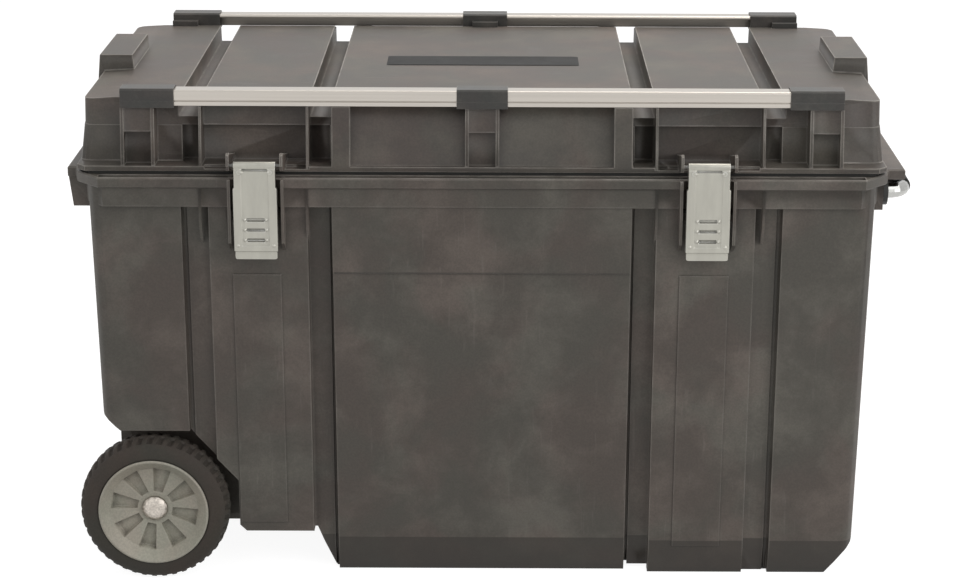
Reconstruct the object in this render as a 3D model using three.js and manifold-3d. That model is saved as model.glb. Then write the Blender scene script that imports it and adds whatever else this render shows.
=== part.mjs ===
// Wheeled jobsite storage box: a ribbed plastic tub, a moulded lid with two aluminium tie-down
// rails, two hinged latches, two wheels on an axle and a pull-out tow handle.
// Millimetres and degrees. X runs along the box with the wheels at -X, Y runs from the latches
// to the hinges, Z is up from the floor.

import * as THREE from "three";
import { mergeVertices } from "three/addons/utils/BufferGeometryUtils.js";
import Module from "manifold-3d";

const wasm = await Module();
wasm.setup();

// Fits shared by all pieces
const seatGap = 0.3;
const runGap = 0.4;
const overrun = 5;
const bite = 1;

// Tub walls and floor
const collarBase = 475;
const tubHalfLength = 465;
const tubHalfDepth = 267;
const endLean = 6;
const sideLean = 8;
const bandHeight = 36;
const bandLean = 9;
const tubCorner = 16;
const tubWall = 5;
const footHeight = 8;
const skirtThickness = 15;
const skidWidth = 22;
const skidSpacing = 115;

// Grooves, recesses and pilasters of the long walls, as widths counted from the middle outwards
const panelHalf = 177;
const panelSetback = 8;
const panelRise = 11;
const grooveWidth = 4;
const recessWidth = 25;
const pilasterWidth = 117;
const outerRecessWidth = 27;
const outerGrooveWidth = 5;
const recessDepth = 8;
const grooveDepth = 10;
const stripInset = 39;
const stripWidth = 57;
const stripProud = 3;
const creaseDrop = 83;
const creaseProud = 2;
const endRibHalfGap = 90;
const endRibWidth = 52;
const endRibProud = 4;

// Collar, rim and end ledges of the tub
const collarHeight = 23;
const collarProud = 7;
const rimHeight = 13;
const rimProud = 4;
const rimChamfer = 1.5;
const rimCornerStart = 15;
const rimCornerRun = 31;
const gutterWidth = 12;
const gutterDepth = 5;
const gutterLip = 3;
const ledgeSetback = 42;
const ledgeRoot = 12;
const gripLedgeReach = 22;
const towLedgeReach = 32;
const ledgeThickness = 6;
const ledgeLip = 5;
const gripSkirtDrop = 49;
const gripSkirtLean = 5;

// Wheels and axle
const wheelInset = 65;
const wheelRadius = 91.4;
const wheelWidth = 48;
const wheelClear = 14;
const wellInset = 45;
const treadDepth = 5;
const treadShoulder = 3;
const treadSetback = 12;
const tyreDepth = 24.4;
const hubRimWidth = 52;
const hubRimThickness = 7;
const hubLip = 2.5;
const hubShoulder = 14;
const hubShoulderDepth = 12;
const hubDish = 16;
const hubBossRadius = 18;
const hubWebThickness = 12;
const pocketDepth = 4.5;
const pocketInset = 3;
const pocketInnerHalf = 5.5;
const pocketOuterHalf = 11;
const axleRadius = 6;
const axleReach = 3;
const axleSlotHalf = 12;
const axleSlotRise = 14;
const axleBossLength = 12;
const axleCapRadius = 15.5;
const axleCapHeight = 7;
const axleCapSkin = 2.5;
const washerRadius = 14;

// Wheel end of the tub, as places counted from the wheel
const wheelEndFloor = 57;
const stepRun = 23;
const stepInset = 197;
const wellRightReach = 102.5;
const wellArchRise = 32.6;
const wellTopReach = 44.5;
const wellHeadroom = 6.2;
const wellLeftReach = 39.5;
const wellLeftRise = 20;
const wellLeftRun = 22;
const wellEndReach = 45.5;
const wellCorner = 8;
const endChamferHeight = 45;
const endChamferRun = 33;

// Lid
const sealThickness = 2.9;
const sealWidth = 4;
const flangeThickness = 6;
const flangeReach = 12.5;
const flangeSetback = 18;
const flangeCorner = 10;
const lidStepRise = 42.5;
const lidStepInset = 0.6;
const lidRise = 74.5;
const lidBaseSetback = 25;
const lidTopSetback = 13;
const lidTopLean = 6;
const lidCorner = 12;
const lidWall = 4.5;
const lidEndWall = 6.75;
const shoulderRun = 36;
const shoulderDrop = 2;
const strapInnerX = 178;
const strapSpacing = 155;
const strapWidth = 26;
const strapDepth = 22;
const latchBaySetback = 2;
const pillarWidth = 22;
const pillarGap = 1;
const middleKnee = 8;
const middleFoot = 8;
const finThickness = 3;
const frameHalfWidth = 20;
const frameRib = 4.2;
const frameSink = 1.5;
const framePocket = 15;
const pocketDrop = 3;
const endBlockHalfDepth = 67;
const endBlockRise = 18.5;
const endBlockRun = 35.5;
const endBlockSlant = 2;
const endBlockReach = 5;
const endBlockFoot = 8;
const latchNotchRun = 10;
const latchNotchSill = 3;

// Aluminium rails with their caps and clips
const railClear = 3.5;
const railWidth = 23.5;
const railHeight = 18.5;
const railSink = 4.5;
const railWall = 2.5;
const railEdge = 2;
const railGroove = 1.2;
const railLip = 5;
const capInset = 47.5;
const capLength = 63;
const capCover = 6;
const capSkin = 2;
const capLedge = 8;
const clipHalf = 30;
const clipFootDepth = 9;
const clipFootHeight = 7;
const clipFootHalf = 17;
const clipSeatDepth = 1;

// Latches
const latchInset = 87;
const latchWidth = 52;
const latchRibGap = 3.5;
const latchRib = 3.5;
const latchPinReach = 7;
const latchPinRise = 17.3;
const latchPinRadius = 2;
const curlRadius = 4.2;
const plateThickness = 1.6;
const plateDrop = 113;
const plateFlange = 7;
const plateShoulderDrop = 30;
const plateBorder = 6.5;
const borderProud = 1.4;
const lipHeight = 9;
const lipStep = 2.2;
const lipInset = 2;
const louvreWidth = 28;
const louvreHeight = 4;
const louvreSpacing = 12;
const louvreProud = 2;
const louvreDrop = 69;
const hookThickness = 1.2;
const hookHalf = 10;
const hookHeadHalf = 22;
const hookHeadHeight = 10;
const rivetRadius = 2;
const rivetHead = 3;
const rivetHeadHeight = 1;
const rivetX = 18;
const latchRibReach = 6;
const latchRibDrop = 90;
const latchEarRise = 14;
const latchEarRun = 12;
const catchHeight = 8;
const catchDrop = 5;
const catchReach = 12;

// Lid hinges
const hingeReach = 10;
const hingeRise = 8;
const knuckleRadius = 7;
const hingePinRadius = 3;
const hingeInset = 165;
const lidKnuckle = 40;
const tubKnuckle = 25;

// Tow handle
const tubeRadius = 9;
const tubeInset = 12;
const tubeDrop = 29;
const elbowRadius = 20;
const barReach = 2;
const sleeveInnerX = 120;
const stopInset = 10;
const stopRadius = 11;
const stopLength = 8;
const gripRadius = 12;
const gripWaist = 1;
const gripInset = 23;
const sleeveRadius = 13.5;
const sleeveBracket = 22;
const bushingFlangeRadius = 17;
const bushingFlange = 6;
const guideBlockHalf = 19;
const guideBlockReach = 6;

// Counts, angles and shares
const treadLugCount = 44;
const treadLugShare = 0.55;
const sidewallShare = 0.05;
const shoulderShare = 0.04;
const gripWaistShare = 0.55;
const noseShare = 0.8;
const weldShare = 0.001;
const pocketCount = 8;
const pocketTurnAngle = -12;
const wheelSides = 44;
const roundSides = 20;
const tubeSides = 16;
const elbowSteps = 6;
const cornerSteps = 3;
const louvreCount = 3;

// Heights of the tub and the lid
const collarTop = collarBase + collarHeight;
const rimTop = collarTop + rimHeight;
const creaseHeight = collarBase - creaseDrop;
const flangeBase = rimTop + seatGap + sealThickness + seatGap;
const flangeTop = flangeBase + flangeThickness;
const lidStep = flangeTop + lidStepRise;
const lidTop = flangeTop + lidRise;
const strapFloor = lidTop - strapDepth;
const railBase = lidTop - railSink;
const railTop = railBase + railHeight;

// Places along the length
const collarHalfLength = tubHalfLength + collarProud;
const rimStraightHalf = tubHalfLength - rimCornerStart;
const ledgeRootHalf = collarHalfLength + ledgeRoot;
const gripLedgeX = -collarHalfLength - gripLedgeReach;
const towLedgeX = collarHalfLength + towLedgeReach;
const beyondEnd = overrun + Math.max(towLedgeX, -gripLedgeX);
const pilasterX = panelHalf + grooveWidth + recessWidth;
const outerRecessX = pilasterX + pilasterWidth;
const outerGrooveX = outerRecessX + outerRecessWidth;
const flangeHalfLength = tubHalfLength + flangeReach;
const lidTopHalfLength = flangeHalfLength - lidTopLean;
const shoulderHalfLength = lidTopHalfLength - shoulderRun;
const endBlockInnerX = lidTopHalfLength - endBlockRun;
const endBlockOuterX = lidTopHalfLength + endBlockReach;
const endBlockFootX = flangeHalfLength + endBlockFoot;
const strapOuterX = strapInnerX + strapSpacing;
const middleWallHalf = strapInnerX - pillarGap - pillarWidth;
const latchX = strapInnerX + latchInset;
const capOuterX = lidTopHalfLength - capInset;
const capInnerX = capOuterX - capLength;
const railHalfLength = capOuterX - capCover;
const tubeInnerX = sleeveInnerX + stopInset;
const handleBarX = towLedgeX + barReach;
const guideBlockX = collarHalfLength + guideBlockReach;

// Places across the depth
const collarHalfDepth = tubHalfDepth + collarProud;
const rimHalfDepth = collarHalfDepth + rimProud;
const ledgeHalfDepth = tubHalfDepth - ledgeSetback;
const flangeHalfDepth = rimHalfDepth - flangeSetback;
const lidBaseHalfDepth = flangeHalfDepth - lidBaseSetback;
const lidTopHalfDepth = lidBaseHalfDepth - lidTopSetback;
const latchBayDepth = lidTopHalfDepth - latchBaySetback;
const latchNotchDepth = flangeHalfDepth - latchNotchRun;
const railInner = lidTopHalfDepth + railClear;
const railOuter = railInner + railWidth;
const tubeDepth = ledgeHalfDepth - tubeInset;
const gripHalf = tubeDepth - gripInset;

// The wheels, their wells and the raised floor over the axle
const wheelX = wheelInset - tubHalfLength;
const wellHalfDepth = tubHalfDepth - wellInset;
const wheelFaceDepth = wellHalfDepth + wheelClear + wheelWidth;
const hubFace = wheelFaceDepth - (wheelWidth - hubRimWidth) / 2;
const hubBossFace = hubFace - hubDish;
const hubRadius = wheelRadius - tyreDepth;
const axleHalf = hubBossFace + seatGap + axleReach;
const stepTopX = wheelX + stepInset;
const stepFootX = stepTopX + stepRun;
const wellRightX = wheelX + wellRightReach;
const wellArchHeight = wheelRadius + wellArchRise;
const wellTopX = wheelX + wellTopReach;
const wellHeight = 2 * wheelRadius + wellHeadroom;
const wellLeftX = wheelX - wellLeftReach;
const wellEndX = wheelX - wellEndReach;

// Pins and the latch plate
const latchPinDepth = rimHalfDepth + latchPinReach;
const latchPinHeight = rimTop + latchPinRise;
const latchPlateFront = latchPinDepth + curlRadius;
const latchPlateBack = latchPlateFront - plateThickness;
const latchRivetHeight = latchPinHeight - curlRadius - rivetHead - seatGap;
const hingeDepth = flangeHalfDepth + hingeReach;
const hingeHeight = rimTop + hingeRise;
const tubeHeight = rimTop - tubeDrop;
const hingeSpacing = tubHalfLength - hingeInset;
const hingeStations = [-hingeSpacing, 0, hingeSpacing];
const latchSides = [
  ["left", -latchX],
  ["right", latchX],
];
const ends = [
  ["front", -1],
  ["back", 1],
];

// A solid from a closed geometry, once its shared corners are merged
function solidFrom(geometry) {
  const bare = geometry.clone();
  bare.deleteAttribute("normal");
  bare.deleteAttribute("uv");
  const merged = mergeVertices(bare, seatGap * weldShare);
  return new wasm.Manifold(
    new wasm.Mesh({
      numProp: 3,
      vertProperties: new Float32Array(merged.attributes.position.array),
      triVerts: new Uint32Array(merged.index.array),
    }),
  );
}

function meshFrom(name, solid, material) {
  const made = solid.getMesh();
  const flat = new THREE.BufferGeometry();
  flat.setAttribute("position", new THREE.BufferAttribute(made.vertProperties, 3));
  flat.setIndex(new THREE.BufferAttribute(made.triVerts, 1));
  const geometry = flat.toNonIndexed();
  geometry.computeVertexNormals();
  const mesh = new THREE.Mesh(geometry, material);
  mesh.name = name;
  return mesh;
}

const join = (...solids) => solids.flat().reduce((whole, piece) => whole.add(piece));
const cut = (whole, ...solids) => solids.flat().reduce((rest, piece) => rest.subtract(piece), whole);

// A box between two corners, given as [from, to] along each axis in either order
function block(x, y, z) {
  const size = [x, y, z].map(([a, b]) => Math.abs(b - a));
  const middle = [x, y, z].map(([a, b]) => (a + b) / 2);
  return solidFrom(new THREE.BoxGeometry(...size).translate(...middle));
}

// An outline of [a, b] points drawn out along one axis from one place to another
function prism(outline, axis, from, to, options = {}) {
  const shape = new THREE.Shape(outline.map(([a, b]) => new THREE.Vector2(a, b)));
  const low = Math.min(from, to);
  const depth = Math.abs(to - from);
  const bevel = options.bevel ?? 0;
  const geometry = new THREE.ExtrudeGeometry(shape, {
    depth: depth - 2 * bevel,
    bevelEnabled: bevel > 0,
    bevelSize: bevel,
    bevelThickness: bevel,
    bevelOffset: -bevel,
    bevelSegments: 1,
  });
  geometry.translate(0, 0, low + bevel);
  const turn = new THREE.Matrix4();
  if (axis === "x") {
    turn.makeBasis(new THREE.Vector3(0, 1, 0), new THREE.Vector3(0, 0, 1), new THREE.Vector3(1, 0, 0));
  }
  if (axis === "y") {
    turn.makeBasis(new THREE.Vector3(1, 0, 0), new THREE.Vector3(0, 0, 1), new THREE.Vector3(0, -1, 0));
    geometry.translate(0, 0, -2 * low - depth);
  }
  return solidFrom(geometry.applyMatrix4(turn));
}

// A closed stack of rings with equal point counts, each [height, outline]
function loft(rings) {
  const points = rings.flatMap(([height, outline]) => outline.map(([x, y]) => [x, y, height]));
  const count = rings[0][1].length;
  const faces = [];
  for (let level = 0; level + 1 < rings.length; level++) {
    for (let i = 0; i < count; i++) {
      const next = (i + 1) % count;
      const low = level * count;
      const high = low + count;
      faces.push(low + i, low + next, high + next, low + i, high + next, high + i);
    }
  }
  const top = (rings.length - 1) * count;
  for (let i = 1; i + 1 < count; i++) {
    faces.push(0, i + 1, i, top, top + i, top + i + 1);
  }
  const geometry = new THREE.BufferGeometry();
  geometry.setAttribute("position", new THREE.BufferAttribute(new Float32Array(points.flat()), 3));
  geometry.setIndex(faces);
  return solidFrom(geometry);
}

// A rectangle about the middle with round corners, counter-clockwise
function roundRect(halfX, halfY, radius) {
  const points = [];
  for (let corner = 0; corner < 4; corner++) {
    const signX = corner === 0 || corner === 3 ? 1 : -1;
    const signY = corner < 2 ? 1 : -1;
    for (let step = 0; step <= cornerSteps; step++) {
      const angle = ((corner + step / cornerSteps) * Math.PI) / 2;
      const x = signX * (halfX - radius) + radius * Math.cos(angle);
      const y = signY * (halfY - radius) + radius * Math.sin(angle);
      points.push([x, y]);
    }
  }
  return points;
}

// A profile of [radius, place] points turned about an axis; it is closed on itself or at the axis
function turned(profile, axis, sides = roundSides) {
  const points = profile.map(([radius, place]) => new THREE.Vector2(radius, place));
  const geometry = new THREE.LatheGeometry(points, sides);
  if (axis === "x") {
    geometry.rotateZ(-Math.PI / 2);
  }
  return solidFrom(geometry);
}

function rod(radius, axis, from, to, sides = tubeSides) {
  const low = Math.min(from, to);
  const high = Math.max(from, to);
  return turned([[0, low], [radius, low], [radius, high], [0, high]], axis, sides);
}

function pipe(inner, outer, axis, from, to, sides = roundSides) {
  const ring = [[inner, from], [outer, from], [outer, to], [inner, to], [inner, from]];
  return turned(ring, axis, sides);
}

// Where the tub's long wall and end wall stand at a height
function wallDepth(height) {
  const lean = (sideLean * (collarBase - height)) / (collarBase - bandHeight);
  return tubHalfDepth - lean;
}

function wallLength(height) {
  const lean = (endLean * (collarBase - height)) / (collarBase - bandHeight);
  return tubHalfLength - lean;
}

// Corners of the long wall's face from below the floor up to a height, set in or out by an offset
function wallFace(offset, from, to) {
  const foot = wallDepth(bandHeight) - bandLean;
  const points = [[wallDepth(to) + offset, to]];
  if (from < bandHeight) {
    points.push([wallDepth(bandHeight) + offset, bandHeight], [foot + offset, 0]);
  }
  if (from < 0) {
    points.push([foot + offset, from]);
  }
  if (from > bandHeight) {
    points.push([wallDepth(from) + offset, from]);
  }
  return points;
}

const facing = (outline, side) => outline.map(([depth, height]) => [side * depth, height]);

// A cutter that takes a band of the long wall back by a depth
function wallRecess(side, x, depth, from, to) {
  const far = tubHalfDepth + overrun;
  const outline = [[far, from], [far, to], ...wallFace(-depth, from, to)];
  return prism(facing(outline, side), "x", x[0], x[1]);
}

// A band that follows the long wall, proud of it or inside it
function wallStrip(side, x, proud, from, to) {
  const deep = tubHalfDepth - sideLean - panelSetback - 2 * recessDepth;
  const outline = [...wallFace(proud, from, to), [deep, from], [deep, to]];
  return prism(facing(outline, side), "x", x[0], x[1]);
}

// A band over the middle panel, which leans out from the foot band to the collar
function panelStrip(side, half, proud, from, to) {
  const deep = tubHalfDepth - sideLean - panelSetback - 2 * recessDepth;
  const slope = panelRise / (collarBase - bandHeight);
  const face = (height) => wallDepth(height) - panelSetback + proud + slope * (height - bandHeight);
  const outline = [[face(to), to], [face(from), from], [deep, from], [deep, to]];
  return prism(facing(outline, side), "x", -half, half);
}

function tubCore() {
  const ring = (height, length, depth) => [height, roundRect(length, depth, tubCorner)];
  const footLength = wallLength(bandHeight) - bandLean;
  return loft([
    ring(0, footLength, wallDepth(bandHeight) - bandLean),
    ring(bandHeight, wallLength(bandHeight), wallDepth(bandHeight)),
    ring(rimTop - ledgeThickness, wallLength(rimTop), wallDepth(rimTop)),
  ]);
}

function tubWallCuts(side) {
  const top = collarBase + overrun;
  const middle = panelHalf + bite;
  const cuts = [wallRecess(side, [-middle, middle], panelSetback, -overrun, top)];
  for (const hand of [-1, 1]) {
    const band = (from, width) => [hand * from, hand * (from + width)];
    const recess = band(panelHalf + grooveWidth - bite, recessWidth + bite);
    const groove = band(panelHalf, grooveWidth);
    cuts.push(wallRecess(side, recess, panelSetback + recessDepth, -overrun, top));
    cuts.push(wallRecess(side, groove, panelSetback + grooveDepth, -overrun, top));
    cuts.push(wallRecess(side, band(outerRecessX, outerRecessWidth), recessDepth, -overrun, top));
    const outerGroove = band(outerGrooveX - bite, outerGrooveWidth + bite);
    cuts.push(wallRecess(side, outerGroove, grooveDepth, -overrun, top));
  }
  return cuts;
}

function tubWallStrips(side) {
  const top = collarBase + overrun;
  const lower = panelStrip(side, panelHalf, 0, bandHeight, top);
  const upper = panelStrip(side, panelHalf, creaseProud, creaseHeight, top);
  const strips = [-1, 1].map((hand) => {
    const from = pilasterX + stripInset;
    return wallStrip(side, [hand * from, hand * (from + stripWidth)], stripProud, bandHeight, top);
  });
  return [lower, upper, ...strips];
}

function tubEndRibs() {
  const ribs = [];
  const top = collarBase + overrun;
  const chamferTop = endChamferHeight + overrun;
  const deep = tubHalfLength - endLean - tubWall / 2;
  for (const end of [-1, 1]) {
    const foot = end < 0 ? wellHeight + wellLeftRise + overrun : chamferTop;
    const face = [
      [wallLength(top) + endRibProud, top],
      [wallLength(foot) + endRibProud, foot + endRibProud],
      [wallLength(foot), foot],
      [deep, foot],
      [deep, top],
    ];
    for (const side of [-1, 1]) {
      const y = [side * endRibHalfGap, side * (endRibHalfGap + endRibWidth)];
      ribs.push(prism(facing(face, end), "y", y[0], y[1]));
    }
  }
  return ribs;
}

// Front view of a wheel well: an arch with a straight side, a slant and a chamfered outer corner
function wellOutline(grow) {
  const slope = wellLeftRise / wellLeftRun;
  const farHeight = wellHeight + (beyondEnd + wellLeftX) * slope + grow;
  return [
    [wellRightX + wellCorner + grow, -overrun],
    [wellRightX + wellCorner + grow, wheelEndFloor],
    [wellRightX + grow, wheelEndFloor + wellCorner],
    [wellRightX + grow, wellArchHeight + grow / 2],
    [wellTopX + grow / 2, wellHeight + grow],
    [wellLeftX, wellHeight + grow],
    [-beyondEnd, farHeight],
    [-beyondEnd, -overrun],
  ];
}

// Front view of what the end wall between the wells is set back by
function wellEndOutline(grow) {
  const slope = wellLeftRise / wellLeftRun;
  const atEnd = wellHeight + (wellLeftX - wellEndX) * slope;
  return [
    [wellEndX + grow, -overrun],
    [wellEndX + grow, atEnd + grow],
    [-beyondEnd, atEnd + (beyondEnd + wellEndX) * slope + grow],
    [-beyondEnd, -overrun],
  ];
}

function tubOutlineCuts() {
  const wide = tubHalfDepth + overrun;
  const below = (stepRun * overrun) / wheelEndFloor;
  const raised = [
    [stepTopX, wheelEndFloor],
    [-beyondEnd, wheelEndFloor],
    [-beyondEnd, -overrun],
    [stepFootX + below, -overrun],
  ];
  const topX = wallLength(bandHeight);
  const slope = endChamferRun / endChamferHeight;
  const reach = beyondEnd - topX;
  const chamfer = [
    [topX + reach, endChamferHeight + reach / slope],
    [topX - endChamferRun - slope * overrun, -overrun],
    [topX + reach, -overrun],
  ];
  return [
    prism(raised, "y", -wide, wide),
    prism(chamfer, "y", -wide, wide),
    prism(wellOutline(0), "y", -wide, -wellHalfDepth),
    prism(wellOutline(0), "y", wellHalfDepth, wide),
    prism(wellEndOutline(0), "y", -wellHalfDepth - overrun, wellHalfDepth + overrun),
  ];
}

// Plan of the rim: straight sides, sloped corners and the ledge at each end
function rimOutline() {
  const half = (ledge) => {
    const quarter = [
      [rimStraightHalf, rimHalfDepth],
      [ledgeRootHalf - overrun, rimHalfDepth - rimCornerRun],
      [ledgeRootHalf, ledgeHalfDepth],
      [ledge, ledgeHalfDepth],
    ];
    return [...quarter.map(([x, y]) => [x, -y]), ...[...quarter].reverse()];
  };
  return [...half(towLedgeX), ...half(-gripLedgeX).reverse().map(([x, y]) => [-x, y])];
}

function collar() {
  const half = collarHalfLength - overrun;
  const corner = rimHalfDepth - rimProud;
  const quarter = [
    [rimStraightHalf - rimProud, corner],
    [half, corner - rimCornerRun + overrun],
    [collarHalfLength, ledgeHalfDepth],
  ];
  const back = [...quarter].reverse();
  const right = [...quarter.map(([x, y]) => [x, -y]), ...back];
  const outline = [...right, ...[...right].reverse().map(([x, y]) => [-x, y])];
  return prism(outline, "z", collarBase, collarTop + overrun);
}

function rim() {
  const body = prism(rimOutline(), "z", collarTop, rimTop, { bevel: rimChamfer });
  const depths = [rimHalfDepth - gutterLip - gutterWidth, rimHalfDepth - gutterLip];
  const gutter = (side) => {
    const y = depths.map((depth) => side * depth);
    return block([-rimStraightHalf, rimStraightHalf], y, [rimTop - gutterDepth, rimTop + overrun]);
  };
  return cut(body, gutter(-1), gutter(1));
}

// The left ledge turns down into a skirt with a cheek at each end, which makes the carrying grip
function gripSkirt() {
  const base = rimTop - gripSkirtDrop;
  const half = ledgeHalfDepth - rimChamfer;
  const outline = [
    [tubWall - wallLength(base), base],
    [tubWall - wallLength(base), rimTop - ledgeThickness],
    [gripLedgeX, rimTop - ledgeThickness],
    [gripLedgeX + gripSkirtLean, base],
  ];
  return prism(outline, "y", -half, half);
}

function ledgeHollows() {
  const half = ledgeHalfDepth - ledgeLip;
  const ceiling = rimTop - ledgeThickness;
  const left = block(
    [gripLedgeX + gripSkirtLean + ledgeLip, -collarHalfLength],
    [-half, half],
    [rimTop - gripSkirtDrop - overrun, ceiling],
  );
  const right = block(
    [collarHalfLength, towLedgeX - ledgeLip],
    [-half, half],
    [collarTop - overrun, ceiling],
  );
  return [left, right];
}

function cavityOutline() {
  const floor = footHeight + tubWall;
  const raisedFloor = wheelEndFloor + tubWall;
  const slope = endChamferRun / endChamferHeight;
  const toe = wallLength(bandHeight) - endChamferRun + slope * floor - tubWall * (1 + slope / 2);
  const end = wellEndOutline(tubWall);
  return [
    [end[1][0], raisedFloor],
    [stepTopX + tubWall, raisedFloor],
    [stepFootX + tubWall, floor],
    [toe, floor],
    [toe + slope * rimTop, floor + rimTop],
    [end[2][0], floor + rimTop],
    end[2],
    end[1],
  ];
}

// Behind the panels and pilasters the hollow goes as deep as the wall allows
function tubCavityBands(side) {
  const base = wheelEndFloor + tubWall;
  const band = (from, to) => wallStrip(side, [from, to], -tubWall, base, collarBase);
  const inner = pilasterX + tubWall;
  const outer = outerRecessX - tubWall;
  return [
    panelStrip(side, panelHalf - tubWall, -tubWall, base, collarBase),
    band(inner, outer),
    band(-outer, -inner),
  ];
}

function tubCavity() {
  const gap = panelSetback + recessDepth + tubWall;
  const ring = (height, lean) => {
    const length = wallLength(height) - tubWall - lean;
    return [height, roundRect(length, wallDepth(height) - gap - lean, tubCorner - tubWall)];
  };
  const bands = [-1, 1].flatMap((side) => tubCavityBands(side));
  const hollow = loft([ring(0, bandLean), ring(bandHeight, 0), ring(rimTop + overrun, 0)]);
  const open = join(hollow, bands);
  const wide = tubHalfDepth + overrun;
  const shaped = open.intersect(prism(cavityOutline(), "y", -wide, wide));
  const bulge = wellHalfDepth - tubWall;
  const ridge = axleSlotHalf + tubWall;
  const ridgeTop = wheelRadius + axleSlotRise + tubWall;
  return cut(
    shaped,
    prism(wellOutline(tubWall), "y", -wide, -bulge),
    prism(wellOutline(tubWall), "y", bulge, wide),
    block([wheelX - ridge, wheelX + ridge], [-wide, wide], [0, ridgeTop]),
  );
}

// Under the floor: the axle's slot and bores, and a hollow between the skirt and the skids
function tubUndersideCuts() {
  const slotHalf = wellHalfDepth - axleBossLength;
  const slot = [wheelX - axleSlotHalf, wheelX + axleSlotHalf];
  const bore = rod(axleRadius + seatGap, "y", -wellHalfDepth - overrun, wellHalfDepth + overrun);
  const left = stepFootX + skirtThickness;
  const right = wallLength(0) - endChamferRun - skirtThickness;
  const half = wallDepth(bandHeight) - bandLean - skirtThickness;
  const hollow = block([left, right], [-half, half], [-overrun, footHeight]);
  const skids = [-1, 0, 1].map((place) => {
    const y = place * skidSpacing;
    const width = [y - skidWidth / 2, y + skidWidth / 2];
    return block([left - overrun, right + overrun], width, [-overrun, footHeight]);
  });
  return [
    block(slot, [-slotHalf, slotHalf], [0, wheelRadius + axleSlotRise]),
    bore.translate([wheelX, 0, wheelRadius]),
    cut(hollow, skids),
  ];
}

// Thin fins under the rim that carry on the lid's fins, tapering into the wall
function tubFins(side) {
  const top = collarTop + overrun;
  const deep = tubHalfDepth - panelSetback - recessDepth - sideLean;
  const outline = [
    [deep, top],
    [rimHalfDepth - rimChamfer, top],
    [collarHalfDepth + rimChamfer, collarBase - collarHeight],
    [wallDepth(collarBase) - recessDepth / 2, collarBase - 2 * collarHeight],
    [deep, collarBase - 2 * collarHeight],
  ];
  return [strapInnerX + strapWidth, strapOuterX - finThickness].flatMap((x) =>
    [-1, 1].map((hand) => prism(facing(outline, side), "x", hand * x, hand * (x + finThickness))),
  );
}

// Two ribs beside each latch, and the catch bar between them that the hook bears on
function latchRibsOnTub(x) {
  const front = rimHalfDepth + latchRibReach;
  const base = rimTop - latchRibDrop;
  const deep = tubHalfDepth - recessDepth;
  const rib = [
    [deep, rimTop - rimChamfer],
    [front - rimChamfer, rimTop - rimChamfer],
    [front, rimTop - latchRibReach],
    [front, base + 2 * latchRibReach],
    [tubHalfDepth, base],
    [deep, base],
  ];
  const inner = latchWidth / 2 + latchRibGap;
  const ribs = [-1, 1].map((hand) =>
    prism(facing(rib, -1), "x", x + hand * inner, x + hand * (inner + latchRib)),
  );
  const top = collarBase - catchDrop;
  const reach = tubHalfDepth + catchReach;
  const bar = [
    [deep, top],
    [reach - rimChamfer, top],
    [reach, top - rimChamfer],
    [reach, top - catchHeight],
    [deep, top - 2 * catchHeight],
  ];
  return [...ribs, prism(facing(bar, -1), "x", x - inner - bite, x + inner + bite)];
}

function knuckle(x, base) {
  const barrel = rod(knuckleRadius, "x", x[0], x[1]).translate([0, hingeDepth, hingeHeight]);
  return join(barrel, base);
}

function tubKnuckles() {
  return hingeStations.flatMap((station) =>
    [-1, 1].map((hand) => {
      const near = station + hand * (lidKnuckle / 2 + seatGap);
      const x = [near, near + hand * tubKnuckle];
      const y = [hingeDepth - knuckleRadius, hingeDepth + knuckleRadius];
      return knuckle(x, block(x, y, [collarTop, hingeHeight]));
    }),
  );
}

function hingeBores() {
  const half = lidKnuckle / 2 + tubKnuckle + overrun;
  return hingeStations.map((station) => {
    const bore = rod(hingePinRadius + seatGap, "x", station - half, station + half);
    return bore.translate([0, hingeDepth, hingeHeight]);
  });
}

// Blocks at the end wall and brackets inside that hold the tow handle's sleeves
function handleMounts() {
  const z = [tubeHeight - guideBlockHalf, tubeHeight + guideBlockHalf];
  const inner = tubHalfLength - endLean - tubWall / 2;
  return [-1, 1].flatMap((side) => {
    const y = [side * (tubeDepth - guideBlockHalf), side * (tubeDepth + guideBlockHalf)];
    const wallSide = side * (tubHalfDepth - tubWall / 2);
    const bracketY = [side * (tubeDepth - guideBlockHalf), wallSide];
    const bracketX = [sleeveInnerX + overrun, sleeveInnerX + overrun + sleeveBracket];
    return [
      block([inner, guideBlockX], y, z),
      block(bracketX, bracketY, [z[0], collarTop + overrun]),
    ];
  });
}

function handleBores() {
  return [-1, 1].map((side) => {
    const hole = rod(sleeveRadius + seatGap, "x", sleeveInnerX - overrun, beyondEnd);
    return hole.translate([0, side * tubeDepth, tubeHeight]);
  });
}

function makeTub() {
  let walls = tubCore();
  for (const side of [-1, 1]) {
    walls = cut(walls, tubWallCuts(side));
    walls = join(walls, tubWallStrips(side));
  }
  walls = cut(join(walls, tubEndRibs()), tubOutlineCuts());
  const top = cut(join(collar(), rim(), gripSkirt()), ledgeHollows());
  const fins = [-1, 1].flatMap((side) => tubFins(side));
  const ribs = latchSides.flatMap(([, x]) => latchRibsOnTub(x));
  const shell = cut(join(walls, top, fins, ribs, tubKnuckles()), tubCavity(), tubUndersideCuts());
  const bores = [...handleBores(), ...hingeBores()];
  return cut(join(shell, handleMounts()), bores);
}

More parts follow.
